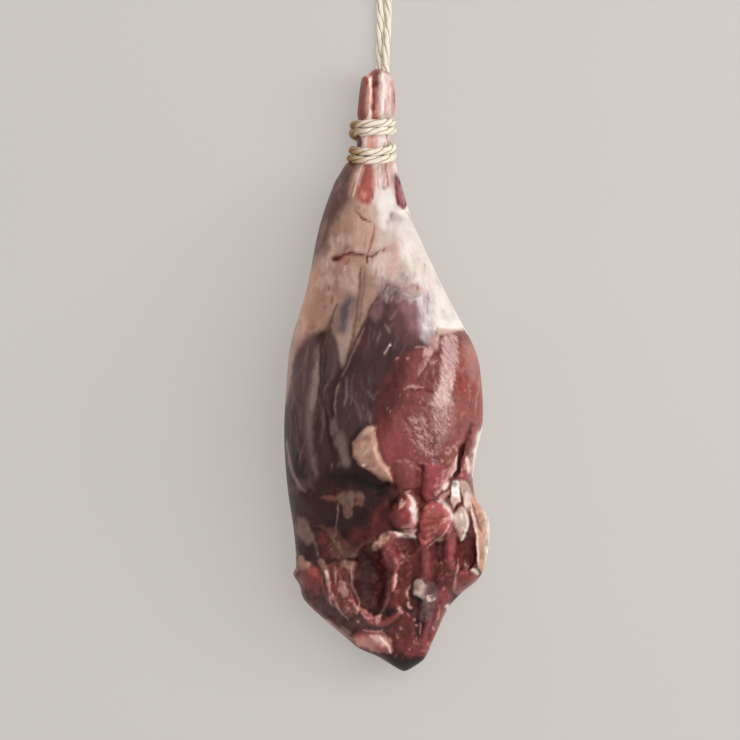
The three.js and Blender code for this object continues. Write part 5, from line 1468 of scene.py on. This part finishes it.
def paintKnobs(skin):
    # painted shade on the knob's left, away from the light
    skin.area("darkRed", 6, [(-10, 124), (0, 131), (8, 130), (8, 110), (-4, 106), (-12, 112)], 0.8)
    skin.area("knobRed", 3.5, [
        (4, 121), (8, 128), (14, 131), (20, 129), (23, 120), (20, 111), (12, 108.6), (5, 111)])
    skin.area("knobPink", 2.2, [
        (14, 127), (17, 131), (22, 128), (24.8, 120), (22.6, 111.6), (16, 109.4), (10, 110.4), (16, 113),
        (18, 119), (16, 124)])
    # white tendon with a painted highlight on the knob's upper right
    skin.area("knobWhiteHighlight", 2, [
        (15.4, 127.6), (18, 130.6), (21.6, 128), (23.4, 121.6), (22.6, 114), (20.6, 115), (20, 121),
        (17.6, 124)], 0.85, 0.3)
    skin.spot("knobRed", 12, 119, 4.2, 4.6, 0.9, 0.6)
    skin.spot("nubRed", 11, 120.8, 2.4, 2, 0.6)
    # more painted shade on the knob's left flank
    skin.area("darkRed", 3, [(1, 116), (4.6, 123), (7, 118), (8, 111), (4, 108.6)], 0.7)
    skin.area("stripFat", 1.6, [(12, 108.6), (18, 109.6), (23, 111), (22.4, 105.4), (14, 105)], 0.95, 0.4)
    skin.stroke("whitePink", 0.8, [(17, 108.6), (21, 107.6), (22.8, 110)], 0.7, 0.3)
    # painted shade under the knob
    skin.stroke("deepMeat", 0.9, [(2, 109.6), (8, 109), (13, 110), (17, 111)], 0.75, -0.6)
    # the torn strings over it
    skin.area("lipRed", 1, [
        (13.4, 125), (13, 132), (15, 137), (18.6, 134), (19.6, 129), (16, 127)], 0.9, 0.4)
    skin.stroke("whitePink", 1.2, [(15.4, 136.4), (18.4, 134.6), (20.6, 131), (21.4, 127)], 0.9, 0.5)
    skin.stroke("palePink", 0.9, [(13.4, 138.8), (14.6, 137), (17, 139)], 0.8, 0.5)
    skin.stroke("palePink", 0.9, [(13.6, 131), (11, 128.4), (8.8, 125.4)], 0.85, 0.5)
    skin.stroke("palePink", 1.1, [(10.6, 133), (10.4, 130), (9.6, 128)], 0.7, 0.4)
    skin.spot("clotDark", 12.6, 133.6, 1.1, 1.6, 0.85, -0.5)
    skin.stroke("hole", 1.0, [(7, 137), (7.6, 131), (7.4, 127)], 0.35, -0.3)
    skin.stroke("deepMeat", 0.9, [(12, 140.6), (20, 140.6), (24, 136)], 0.4, -0.4)
    skin.area("underKnob", 1.1, [
        (2, 107), (4.6, 108), (8, 104.6), (14, 103), (22, 103), (24.6, 98), (24, 93.6), (19, 91.6),
        (15, 92.4), (11, 95.4), (7, 100), (3, 102.4)], 1, -0.5)
    skin.stroke("whitePink", 1.5, [(6, 107), (9.6, 105.2), (14, 104.6), (18, 105), (22.4, 103.6)], 0.9, 0.7)
    skin.stroke("palePink", 0.7, [(21.4, 103), (22.4, 100), (22.6, 97.6)], 0.8, 0.5)
    # the ribbed lump beside it
    skin.area("nubRed", 1.3, [
        (25, 124), (28, 128), (33, 130.4), (39, 131.4), (44, 129.6), (48, 124), (50.4, 119.6), (49, 115),
        (46, 110.6), (42, 106), (36, 101.6), (31, 97.6), (26, 98), (23, 102), (23.4, 108),
        (24.4, 116)], 1, 0.4)
    skin.area("lipRed", 3, [(27, 124), (34, 128), (40, 126), (40, 118), (30, 116)], 0.5)
    for fall, rise in ((0, 0), (4.6, 0.4), (9.2, 0.2)):
        skin.stroke("clotAndShade", 1.5, [
            (26, 112 - fall), (34, 114.6 - fall), (44 - fall, 119.4 - fall)], 0.42, -0.5)
        skin.stroke("palePink", 1.2, [
            (28, 109.4 - fall), (37, 112.6 - fall), (45 - fall, 116 - fall + rise)], 0.32, 0.3)
    skin.stroke("lipRed", 1.2, [(28, 121), (36, 121.6), (43, 122)], 0.6, 0.2)
    skin.stroke("clotAndShade", 0.7, [(28, 118), (37, 118.6), (44, 120.6)], 0.5, -0.3)
    # white threads, with a painted highlight along the lump's upper right
    skin.stroke("whitePink", 1.5, [(38, 132), (42, 131), (45, 127.6), (48, 122.6), (50, 119.6)], 0.85, 0.5)
    skin.spot("whitePink", 50, 119, 2.4, 2.4, 1, 0.5)
    skin.stroke("palePink", 1.2, [(42, 117), (46, 117.4), (48.4, 117.6)], 0.8, 0.3)
    skin.stroke("palePink", 0.7, [(49, 116.6), (45, 109), (39, 103.2), (31.6, 97.4)], 0.8, 0.4)
    skin.stroke("palePink", 0.8, [(28, 125), (31, 128)], 0.5, 0.3)
    # painted shade in the seam between the knob and the lump
    skin.stroke("hole", 1.1, [(24, 129), (24.6, 120), (24.8, 113), (22.8, 105), (23, 99)], 0.6, -0.6)
    skin.stroke("clotDark", 0.8, [(26, 129.6), (31, 131.4), (37, 132.6)], 0.45, -0.4)


def paintTornLeft(skin):
    skin.area("deepMeat", 5, [
        (-78, 140), (-40, 139), (-4, 139), (6, 132), (-2, 112), (-14, 102), (-28, 99), (-40, 108),
        (-56, 117), (-72, 122)], 0.95)
    skin.area("darkMeat", 4, [(-80, 134), (-60, 132), (-42, 128), (-46, 112), (-72, 120)], 0.7)
    skin.stroke("rimBrown", 2.0, [(-50, 134), (-43, 133.4), (-36, 134)], 0.8)
    skin.stroke("rimBrown", 1.2, [(-48, 138.6), (-34, 140), (-20, 139.6)], 0.4)
    skin.area("oldFat", 1.5, [
        (-38, 137), (-30, 139.6), (-22, 139.6), (-17.6, 137), (-17, 131), (-19, 127), (-22, 128.6),
        (-26, 127), (-26, 121), (-28, 117.4), (-31.4, 119), (-33.4, 126), (-36.6, 131)], 0.95, 0.5)
    skin.scatter("rimBrown", 14, (0.9, 3.4), 70, [
        (-36, 137), (-18, 138), (-18, 130), (-30, 120)], 73, 0.6, -0.2)
    skin.spot("hole", -24.2, 132, 1.7, 2.6, 0.9, -0.6)
    skin.spot("clotAndShade", -27.6, 122.6, 1.2, 2, 0.6)
    skin.stroke("mist", 0.6, [(-37, 130), (-36.6, 121), (-38.2, 115), (-38.6, 105)], 0.5)
    skin.stroke("rimBrown", 1.4, [(-52, 113), (-45, 109), (-38, 106)], 0.5)
    skin.area("oldFat", 1.8, [
        (-69, 113), (-66, 119.6), (-62, 118), (-58, 110), (-54.6, 104), (-55.4, 98), (-60, 97), (-65, 102),
        (-68.6, 107)], 0.9, 0.4)
    skin.area("deepMeat", 1.8, [
        (-69, 101), (-64, 99), (-58, 94), (-55, 88), (-57, 84), (-62, 86), (-66.4, 92)], 0.85)
    skin.stroke("oldFat", 1.2, [(-54.4, 101), (-53, 94), (-51.4, 88.6)], 0.7, 0.3)
    skin.area("darkRed", 1.6, [
        (-52, 108), (-46, 107), (-43, 98), (-43, 90), (-47, 87.4), (-51, 92), (-53, 100)], 0.5)
    skin.area("deepMeat", 1.4, [(-52, 100), (-49, 92), (-47, 88), (-50.4, 90)], 0.6)
    skin.area("rimBrown", 2, [
        (-46, 109), (-40, 111), (-35, 108), (-31, 100), (-23, 96.6), (-15, 101), (-10, 106), (-7, 100),
        (-10, 95), (-17, 93), (-20, 89), (-28, 87.6), (-42, 86.4), (-44, 92), (-42, 99)], 0.75, 0.3)
    skin.stroke("oldFat", 2.2, [(-41, 106), (-38, 96), (-32, 90.6), (-22, 90)], 0.6)
    skin.scatter("lobeLight", 12, (0.6, 3.4), 75, [
        (-46, 108), (-36, 106), (-30, 90), (-44, 88)], 74, 0.3, 0.2)
    skin.area("darkRed", 3, [(-30, 112), (-8, 112), (-6, 104), (-14, 99), (-28, 100)], 0.5)
    skin.area("lipFat", 0.9, [
        (-11.6, 98), (-8, 100.6), (-4.4, 104.6), (-1, 108.4), (2.4, 109.6), (5.4, 108), (3.6, 105.4),
        (1.6, 102.6), (-0.6, 99.2), (-3.8, 95.6), (-7, 92.6), (-9.4, 92.4), (-12, 94.6)], 1, 0.9)
    skin.stroke("whitePink", 0.8, [(0, 108.6), (3, 108.4), (4.6, 107)], 0.7, 0.3)
    skin.stroke("palePink", 0.7, [(-8, 93.6), (-4, 97), (-1, 100.4), (1.6, 104)], 0.6, 0.3)
    skin.scatter("vein", 8, (0.7, 3), 55, [(-9, 101), (-2, 107), (0, 102), (-7, 96)], 75, 0.45, -0.2)
    # painted shade under the lip of fat
    skin.stroke("hole", 0.8, [(-5, 92.6), (-2.6, 95.6), (0.6, 98.8), (2.8, 102.4), (4.6, 105.4)], 0.9, -1.0)
    skin.stroke("deepMeat", 0.9, [(-30, 86.6), (-24.6, 87.4), (-19.6, 86)], 0.85, -0.6)
    skin.stroke("deepMeat", 0.8, [(-40, 87.4), (-37, 85.4)], 0.8, -0.5)
    # the marbled meat inside the rim
    skin.area("marbled", 1.2, [
        (-51, 80), (-45, 83), (-36, 86), (-28, 86), (-23.6, 84), (-24, 74), (-25, 66), (-21.6, 54),
        (-21.6, 46), (-24, 43.6), (-29, 40), (-33, 42.6), (-37, 47), (-42, 52), (-48, 58), (-51, 66)], 0.95)
    skin.area("rimTan", 1.6, [
        (-35, 86), (-28, 86), (-22.6, 84.6), (-22, 78), (-26, 76.6), (-31, 78), (-34, 82)], 0.9, 0.5)
    skin.scatter("lobeLight", 12, (0.6, 3), 110, [(-34, 86), (-23, 84), (-24, 77), (-33, 79)], 76, 0.6, 0.3)
    skin.stroke("stripFat", 1.6, [(-46.6, 78), (-45.4, 72), (-43.8, 66), (-42.8, 60), (-42, 53)], 0.7, 0.6)
    skin.spot("whitePink", -46.2, 75.6, 1.8, 2.6, 0.8, 0.4)
    skin.stroke("deepMeat", 0.9, [(-48.6, 77), (-47.2, 69), (-45.6, 62)], 0.7, -0.6)
    skin.stroke("darkRed", 1.2, [(-43.2, 80), (-41.8, 70), (-41, 62), (-39.4, 55)], 0.8, -0.7)
    skin.stroke("stripFat", 0.7, [(-39, 82), (-39, 73), (-37.6, 66), (-35.4, 61)], 0.8, 0.5)
    skin.stroke("stripFat", 0.8, [(-41.4, 61), (-39.6, 55), (-37, 49.6), (-35, 47.4)], 0.8, 0.5)
    skin.stroke("clotAndShade", 0.9, [(-37.2, 82), (-36.6, 75), (-38, 67), (-37, 60)], 0.7, -0.5)
    skin.area("paleStrip", 1.3, [
        (-36, 76), (-34, 72.4), (-31, 70), (-29, 64), (-28, 60.4), (-31, 56), (-35, 60), (-36, 66),
        (-37, 72)], 0.9, 0.4)
    skin.scatter("stripFat", 18, (0.5, 3.6), 105, [
        (-36, 76), (-31, 70), (-28, 60), (-35, 58)], 77, 0.6, 0.3)
    skin.stroke("deepMeat", 0.8, [(-36, 73), (-31.8, 70.6), (-29, 65), (-27.6, 58)], 0.6, -0.5)
    skin.stroke("deepMeat", 0.8, [(-30.4, 79), (-28.4, 71), (-26.6, 63), (-23, 56)], 0.8, -0.7)
    skin.stroke("rimLight", 0.9, [
        (-27, 79), (-26.4, 72), (-25, 65), (-23, 59), (-20.6, 54), (-21, 50)], 0.9, 0.9)
    skin.area("tipRed", 1.6, [
        (-33, 56), (-28, 58), (-24.6, 58), (-21.6, 52), (-22, 47), (-25, 45), (-31, 45)], 0.8)
    skin.scatter("stripFat", 18, (0.7, 2.2), 80, [(-33, 55), (-24, 56), (-22, 46), (-31, 45)], 78, 0.7, 0.4)
    skin.scatter("clotAndShade", 14, (0.8, 2), 80, [(-35, 55), (-26, 56), (-24, 46), (-33, 45)], 79, 0.7, -0.4)
    skin.stroke("stripFat", 1.0, [(-21.4, 52), (-21.6, 48.6), (-22.6, 45)], 0.9, 0.6)
    skin.spot("clotAndShade", -22.4, 41, 3.2, 2.6, 0.9, -0.9)
    skin.spot("lavender", -22.4, 39.2, 0.9, 0.9, 0.6)
    skin.stroke("rimLight", 0.6, [(-35, 47.4), (-32, 43.4), (-28.6, 39.6)], 0.8, 0.5)
    skin.scatter("stripFat", 26, (0.5, 2.6), 75, [
        (-50, 78), (-28, 80), (-24, 48), (-42, 53)], 71, 0.35, 0.3)
    skin.scatter("darkRed", 30, (0.8, 3.6), 78, [(-50, 80), (-26, 80), (-24, 48), (-42, 53)], 72, 0.6, -0.4)
    # left of it
    skin.area("darkRed", 1.8, [
        (-67, 79), (-60, 83), (-54, 82), (-50, 77), (-49.6, 64), (-51, 58), (-57, 60), (-62, 64),
        (-66, 70)])
    skin.spot("tipRed", -56, 78, 3.4, 3.4, 0.7)
    skin.area("rimTan", 1.1, [
        (-67.4, 89), (-64, 90), (-61.6, 86), (-57.8, 84.4), (-58, 81), (-63, 79), (-67.6, 80)], 0.85, 0.5)
    skin.spot("lobeLight", -59, 83, 1.7, 1.2, 0.7, 0.3)
    skin.area("rimTan", 1.0, [
        (-51.4, 88), (-47.6, 87), (-46.4, 80), (-47.6, 77.4), (-50, 80), (-52.4, 84)], 0.9, 0.5)
    skin.stroke("rimTan", 1.6, [(-69.4, 98), (-69.4, 88), (-68.4, 79), (-70.6, 74.6)], 0.7)
    skin.area("rimBrown", 1.6, [
        (-76, 78), (-67, 73), (-65, 64), (-60, 54.6), (-50, 46), (-40, 37.4), (-31, 29.4), (-25, 24.6),
        (-18, 19), (-8, 13), (-10, 2), (-40, 4), (-66, 30), (-84, 60)], 0.95)
    skin.area("plumGrey", 1.5, [
        (-60, 64), (-55, 62.6), (-51, 59), (-46, 54.6), (-42, 51), (-38, 47.6), (-33, 41), (-28, 37.6),
        (-25, 34.6), (-30, 33.6), (-36, 38), (-44, 44), (-52, 50), (-59, 57)], 0.62, -0.7)
    skin.stroke("darkMeat", 1.2, [(-64, 60), (-53, 47.4), (-40.6, 37), (-28.6, 27)], 0.3, -0.2)
    skin.stroke("rimLight", 1.2, [(-47, 40.6), (-38, 33.4), (-31, 28.6), (-26, 25)], 0.6, 0.3)
    skin.stroke("rimTan", 1.3, [(-36.6, 36.6), (-31, 32), (-27, 29)], 0.5, 0.2)
    skin.area("clotAndShade", 2.4, [(-28, 38), (-20, 40), (-10, 34), (-12, 31.6), (-24, 31)], 0.5)


def paintTip(skin):
    skin.area("tipFat", 1.5, [
        (-27, 25), (-20, 30), (-12, 31.8), (-4, 32.2), (1.4, 28.6), (3.4, 24), (4, 18), (3.6, 14.4),
        (-4, 15.6), (-12, 16), (-19, 18.6)], 1, 0.6)
    skin.stroke("tipRed", 2.8, [(-25, 27), (-17, 30.4), (-9, 30.6), (-2, 29.6)], 0.85)
    skin.area("tipRed", 2, [(-9, 21), (-4, 21), (1, 17), (-4, 15), (-10, 16)], 0.8)
    skin.spot("lobeLight", -15, 22.4, 4.6, 2.4, 0.6)
    # painted highlight along the tip's fat
    skin.stroke("pinkLight", 2.6, [(-12, 27.6), (-7.4, 26.8), (-3, 23.6), (0.4, 19.6)], 0.75, 0.5)
    skin.stroke("whitePink", 0.9, [(-6, 27), (-3, 24.6), (0.2, 20.6)], 0.8, 0.3)
    skin.stroke("whitePink", 0.7, [(0.6, 21), (1.4, 17.6), (3.2, 14.4)], 0.9, 0.4)
    skin.spot("glint", 2, 24.8, 1.3, 1.5, 0.85, 0.3)
    skin.stroke("palePink", 0.9, [(-18, 32), (-12, 31.4), (-5.6, 32), (-2.8, 34)], 0.6, 0.5)
    skin.stroke("clotAndShade", 0.7, [(-21, 30.2), (-13, 30.4), (-7, 30)], 0.5, -0.5)
    skin.area("deepMeat", 3, [
        (-6, 15), (4, 15), (14, 13), (26, 11), (36, 14), (36, -8), (0, -8), (-12, 4)], 0.6)
    # painted shade at the tip's lower edge
    skin.area("edgeShade", 3, [(4, 8), (14, 7), (27, 9), (24, -6), (6, -6)], 0.6)
    skin.area("lobeRed", 2.4, [
        (14, 20), (22, 25), (30, 25), (35, 17), (30, 12.4), (22, 11.6), (15, 14)], 0.5)
    for path, wide in (([(20.6, 24), (22, 21.6)], 0.9), ([(22.4, 22.6), (24.6, 21.4)], 0.8),
                       ([(30.4, 23), (31.6, 20.6)], 0.8), ([(33.8, 22), (33.2, 18.6)], 0.9),
                       ([(25.6, 16), (29, 16.8), (31.6, 15.8)], 0.6), ([(17, 18), (18.4, 16.6)], 0.6)):
        skin.stroke("glint", wide, path, 0.85, 0.35)
    skin.scatter("midRed", 24, (1.0, 4), 60, [(4, 24), (24, 30), (32, 14), (6, 10)], 81, 0.5, 0.2)


def paintBack(skin):
    # out of the photo's sight: a plain cover of fat with the red of the cut round its lower end
    skin.area("backFat", 1, [(-99, -9), (99, -9), (99, 480), (-99, 480)])
    skin.area("shankPale", 8, [(-40, 375), (30, 375), (30, 480), (-40, 480)], 0.8)
    skin.area("redMeat", 7, [(-90, 46), (-30, 34), (0, 24), (30, 30), (90, 62), (90, -9), (-90, -9)], 0.9)
    skin.scatter("backPink", 60, (4, 26), 84, [(-74, 380), (70, 300), (74, 60), (-74, 60)], 91, 0.3, 0)
    skin.scatter("greyFat", 40, (5, 22), 96, [(-74, 320), (60, 300), (74, 60), (-74, 60)], 92, 0.35, 0)
    skin.scatter("vein", 14, (0.8, 18), 70, [(-50, 360), (40, 300), (60, 90), (-60, 90)], 93, 0.35, 0)


regions = [
    paintGround, paintShank, paintBelowBands, paintFat, paintVeins, paintThigh, paintRedMeat,
    paintTornLeft, paintFlap, paintTornRight, paintColumns, paintMiddle, paintKnobs, paintTip,
]


def legRows():
    start = np.linspace(0, math.pi / 2, meatLeg["tipRows"] + 1)[:-1]
    tip = legForm["tipRadius"] * (1 - np.cos(start))
    spans = [np.linspace(low, high, count, endpoint=False) for low, high, count in meatLeg["rows"]]
    finish = np.linspace(math.pi / 2, 0, meatLeg["endRows"] + 1)
    shankEnd = legForm["length"] - legForm["shankEndRadius"] * (1 - np.cos(finish))
    return np.concatenate([tip, *spans, shankEnd])


def legColumns():
    share = np.linspace(0, 1, meatLeg["frontColumns"], endpoint=False)
    crowding = meatLeg["sideCrowding"]
    front = (1 - crowding) * math.pi * share + crowding * np.arccos(1 - 2 * share)
    back = math.pi * (1 + np.linspace(0, 1, meatLeg["backColumns"], endpoint=False))
    return np.concatenate([front, back])


def gridFaces(rows, columns):
    # quads of a closed grid; the first and last rows are single points, closed with triangles
    faces = []
    ring = np.arange(columns)
    after = (ring + 1) % columns
    for row in range(rows - 3):
        low, high = 1 + row * columns, 1 + (row + 1) * columns
        faces.append(np.stack([low + ring, low + after, high + after, high + ring], axis=1))
    last = 1 + (rows - 2) * columns
    top = last - columns
    faces.append(np.stack([np.zeros_like(ring), 1 + after, 1 + ring], axis=1))
    faces.append(np.stack([top + ring, top + after, np.full_like(ring, last)], axis=1))
    return [face for group in faces for face in group.tolist()]


def hollows(height, rows, columns):
    # -1 in the crevices of the relief to 1 on its crests
    grid = height.reshape(rows, columns)
    around = grid
    reach = meatLeg["creviceReach"]
    for axis in (0, 1):
        around = sum(np.roll(around, k, axis) for k in range(-reach, reach + 1)) / (2 * reach + 1)
    return np.clip((grid - around).ravel() / meatLeg["creviceDepth"], -1, 1)


def slopeShade(height, rows, columns):
    # lighter where the relief leans towards the side lamp, darker where it leans away
    grid = height.reshape(rows, columns)
    grid = sum(np.roll(np.roll(grid, i, 0), k, 1) for i in (-1, 0, 1) for k in (-1, 0, 1)) / 9
    across, along = np.gradient(grid, axis=1), np.gradient(grid, axis=0)
    lean = meatLeg["slopeAcross"] * across + meatLeg["slopeAlong"] * along
    return np.clip(lean.ravel(), -1, 1)


def fallOfLight(up, turn):
    # how much light the plain leg gets, 1 where it lies level
    outX, outZ = outwards(up, turn)
    light = meatLeg["allRound"]
    for (fromX, fromZ), share in meatLeg["lamps"]:
        light = light + share * np.maximum(0, outX * fromX + outZ * fromZ) / fromZ
    return light


def makeLeg():
    rows, columns = legRows(), legColumns()
    up, turn = (grid.ravel() for grid in np.meshgrid(rows, columns, indexing="ij"))
    x, z = section(up, turn, meatLeg["swell"] * tied(up))
    steep = 1 - smooth(0, meatLeg["steepBelow"], np.sin(turn))
    skin = Skin(x, up + meatLeg["sideWander"] * steep * unevenness(z, up, meatLeg["sideWanderSize"], 73))
    for relief in legRelief:
        skin.raiseBy(*relief(skin))
    for paint in regions:
        paint(skin)
    otherPart = 300           # millimetres aside, so that the back's random fields are its own
    hidden = Skin(x + otherPart, up)
    hidden.x = hidden.x - otherPart
    paintBack(hidden)

    facing = smooth(*meatLeg["facing"], np.sin(turn)) * rounding(up) * (1 - tied(up))
    z = np.maximum(0, z + facing * skin.height)
    drop = legForm["lobeDrop"] * smooth(*legForm["lobeAcross"], x) * smooth(*legForm["lobeUp"], up)
    points = np.stack([x, up - drop, z], axis=1) + legZero

    # painted shade in the relief's crevices and painted light on its crests and on slopes that lean to the
    # side lamp; the tones are as they look in the light, so the lamps' light is taken out again, which
    # leaves part of their shade painted in
    crevice = hollows(skin.height, rows.size, columns.size)
    darker, lighter = meatLeg["creviceShade"]
    shade = np.where(crevice < 0, darker, lighter) * crevice
    shade = shade + meatLeg["slopeShade"] * slopeShade(skin.height, rows.size, columns.size)
    skin.colour = skin.colour * (1 + shade)[:, None]
    bare = np.maximum(skin.colour - meatLeg["veil"], meatLeg["leastColour"] * skin.colour)
    skin.colour = np.minimum(bare / fallOfLight(up, turn)[:, None], meatLeg["brightest"])
    (bend, bendSize), (tatter, tatterSize) = meatLeg["ragged"]
    ragged = bend * unevenness(x + z, up * 0.5, bendSize, 71)
    ragged = ragged + tatter * unevenness(z, up * 0.4, tatterSize, 72)
    shown = smooth(*meatLeg["shownBelow"], np.sin(turn) + steep * ragged)
    colour = hidden.colour + shown[:, None] * (skin.colour - hidden.colour)
    wet = hidden.wet + shown * (skin.wet - hidden.wet)
    grain = hidden.grain + shown * (skin.grain - hidden.grain)

    keep = np.r_[0, columns.size:up.size - columns.size + 1]  # each end's ring is one point
    mesh = bpy.data.meshes.new("meatLeg")
    mesh.from_pydata((points[keep] * millimetre).tolist(), [], gridFaces(rows.size, columns.size))
    tint = mesh.color_attributes.new("tint", "FLOAT_COLOR", "POINT")
    tint.data.foreach_set("color", np.column_stack([colour, np.ones(up.size)])[keep].ravel())
    for name, values in (("wet", wet), ("grain", grain), ("sheen", shown * skin.sheen)):
        mesh.attributes.new(name, "FLOAT", "POINT").data.foreach_set("value", values[keep])
    mesh.polygons.foreach_set("use_smooth", np.ones(len(mesh.polygons), bool))
    mesh.materials.append(meatFinish())
    return newObject("meatLeg", mesh)


meatLook = {
    # sizes in metres, and how strongly each pattern varies the colour and the relief
    "cloudSize": 0.018, "clouds": 0.22,
    "mottleSize": 0.0045, "mottle": 0.9, "mottleRelief": 0.6, "mottleRoughness": 0.15,
    "fibreSize": 0.0012, "fibreStretch": (1, 0.16, 1), "fibre": 0.7, "fibreRelief": 0.4,
    "wrinkleSize": 0.0022, "wrinkleStretch": (1, 0.35, 1), "wrinkleTwist": 0.6,
    "wrinkles": 0.5, "wrinkleRelief": 0.7,
    "sinewSize": 0.012, "sinewWidth": 0.020, "sinewStretch": (1, 0.3, 1), "sinewRelief": 0.3,
    "crackSize": 0.008, "crackWidth": 0.030, "crackStretch": (1, 0.4, 1), "crackRelief": 0.5,
    "crack": "#b08078", "cracks": 0.3,
    "hatchSize": 0.0016, "hatchStretch": (1, 0.25, 1), "hatchTwist": 0.4, "hatch": (0.5, 0.8),
    "sheenTone": "#cfa9a6", "sheen": 0.7, "sheenSpread": 0.24, "sheenRelief": 0.3,
    "slant": -0.7,            # radians that the cut face's wrinkles lean
    "grain": 0.9, "leastTone": 0.08, "leastRelief": 0.1,  # how far each tone's mottling goes
    "bumpStrength": 0.7, "bumpHeight": 0.0007,
    "roughness": 0.55, "wetRoughness": 0.36,
    "coat": 0.7, "coatRoughness": 0.17, "shine": 0.3, "ior": 1.4,
}


def meatFinish():
    material, shop = newFinish("rawMeat")
    look, place = meatLook, shop.objectPlace()
    tint = shop.attribute("tint", "Color")
    wet, grain, sheen = (shop.attribute(name) for name in ("wet", "grain", "sheen"))
    slanted = shop.node("ShaderNodeVectorRotate", {"rotation_type": "Z_AXIS"},
                        {"Vector": place, "Angle": look["slant"]})
    clouds = shop.noise(place, look["cloudSize"])
    mottle = shop.noise(place, look["mottleSize"], detail=4)
    fibre = shop.noise(place, look["fibreSize"], stretch=look["fibreStretch"])
    wrinkles = shop.noise(slanted, look["wrinkleSize"], stretch=look["wrinkleStretch"],
                          twist=look["wrinkleTwist"])
    sinews = shop.threads(place, look["sinewSize"], look["sinewWidth"], look["sinewStretch"]) * grain
    cracks = shop.threads(slanted, look["crackSize"], look["crackWidth"], look["crackStretch"]) * grain
    hatch = shop.noise(slanted, look["hatchSize"], stretch=look["hatchStretch"],
                       twist=look["hatchTwist"])
    lit = shop.between(hatch + sheen * look["sheenSpread"], *look["hatch"])
    lit = lit * shop.maths("MINIMUM", sheen * 3, 1.0)
    uneven = (mottle - 0.5) * look["mottle"] + (fibre - 0.5) * look["fibre"]
    uneven = uneven + (wrinkles - 0.5) * look["wrinkles"]
    light = 1 + (clouds - 0.5) * look["clouds"] + uneven * (grain * look["grain"] + look["leastTone"])
    colour = shop.dimmed(tint, light)
    colour = shop.mix(cracks * look["cracks"], colour, solid(look["crack"]), "MULTIPLY")
    # painted reflection in pale slanting lines where the sheen is set
    colour = shop.mix(lit * look["sheen"], colour, solid(look["sheenTone"]))
    relief = mottle * look["mottleRelief"] + fibre * look["fibreRelief"]
    relief = relief + wrinkles * look["wrinkleRelief"] + sinews * look["sinewRelief"]
    relief = relief - cracks * look["crackRelief"]
    relief = relief * (grain * look["grain"] + look["leastRelief"]) + lit * look["sheenRelief"]
    bump = shop.node("ShaderNodeBump", {}, {
        "Strength": look["bumpStrength"], "Distance": look["bumpHeight"], "Height": relief})
    rough = look["roughness"] - (look["roughness"] - look["wetRoughness"]) * wet
    closeFinish(shop, {
        "Base Color": colour, "Roughness": rough + (mottle - 0.5) * look["mottleRoughness"],
        "Coat Weight": wet * wet * look["coat"], "Coat Roughness": look["coatRoughness"],
        "Specular IOR Level": look["shine"], "IOR": look["ior"]}, bump)
    return material


leg = makeLeg()
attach(leg, "root")
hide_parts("leg")
print("leg painted:", len(leg.data.polygons), "faces")


studio = {
    "floor": "#cbc7c3", "floorSize": 6.0,
    "floorPatch": 0.4, "floorPatches": 0.03, "floorRoughness": 0.9, "floorShine": 0.1,
    # the floor gives off part of its colour itself, and is that much darker for the lamps: this
    # thins the shadow
    "glow": 0.5, "glowStrength": 0.52,
    "world": (0.86, 0.85, 0.84), "worldStrength": 0.62,
    # each lamp: place, size, power in watts, colour
    "key": ((1.2, 0.4, 2.4), 2.8, 42, (1.0, 0.97, 0.94)),
    "side": ((1.75, 0.3, 1.05), 0.7, 10.5, (1.0, 0.98, 0.96)),
    "aim": (0.0, 0.0, 0.05),
}


def floorFinish():
    material, shop = newFinish("paleFloor")
    grainy = shop.noise(shop.objectPlace(), studio["floorPatch"], detail=2)
    colour = shop.dimmed(solid(studio["floor"]), 1 - grainy * studio["floorPatches"])
    closeFinish(shop, {
        "Base Color": shop.mix(studio["glow"], colour, (0, 0, 0, 1)),
        "Roughness": studio["floorRoughness"], "Specular IOR Level": studio["floorShine"],
        "Emission Color": colour, "Emission Strength": studio["glowStrength"]})
    return material


def addFloor():
    half = studio["floorSize"] / 2
    mesh = bpy.data.meshes.new("floor")
    mesh.from_pydata([(-half, -half, 0), (half, -half, 0), (half, half, 0), (-half, half, 0)],
                     [], [(0, 1, 2, 3)])
    mesh.materials.append(floorFinish())
    newObject("floor", mesh)


def addLamp(name, mirrored):
    place, size, power, colour = studio[name]
    data = bpy.data.lights.new(name, "AREA")
    data.shape, data.size = "DISK", size
    data.energy, data.color = power, colour
    lamp = newObject(name, data)
    lamp.location = place
    lamp.visible_glossy = mirrored
    lamp.rotation_euler = (Vector(place) - Vector(studio["aim"])).to_track_quat("Z", "Y").to_euler()


def addStudio():
    addFloor()
    addLamp("key", mirrored=False)   # too broad a gleam on wet meat
    addLamp("side", mirrored=True)
    world = bpy.data.worlds.new("studio")
    world.use_nodes = True
    background = world.node_tree.nodes["Background"]
    background.inputs["Color"].default_value = (*studio["world"], 1)
    background.inputs["Strength"].default_value = studio["worldStrength"]
    scene.world = world
    scene.view_settings.view_transform = "Standard"


addStudio()
print("studio lit")
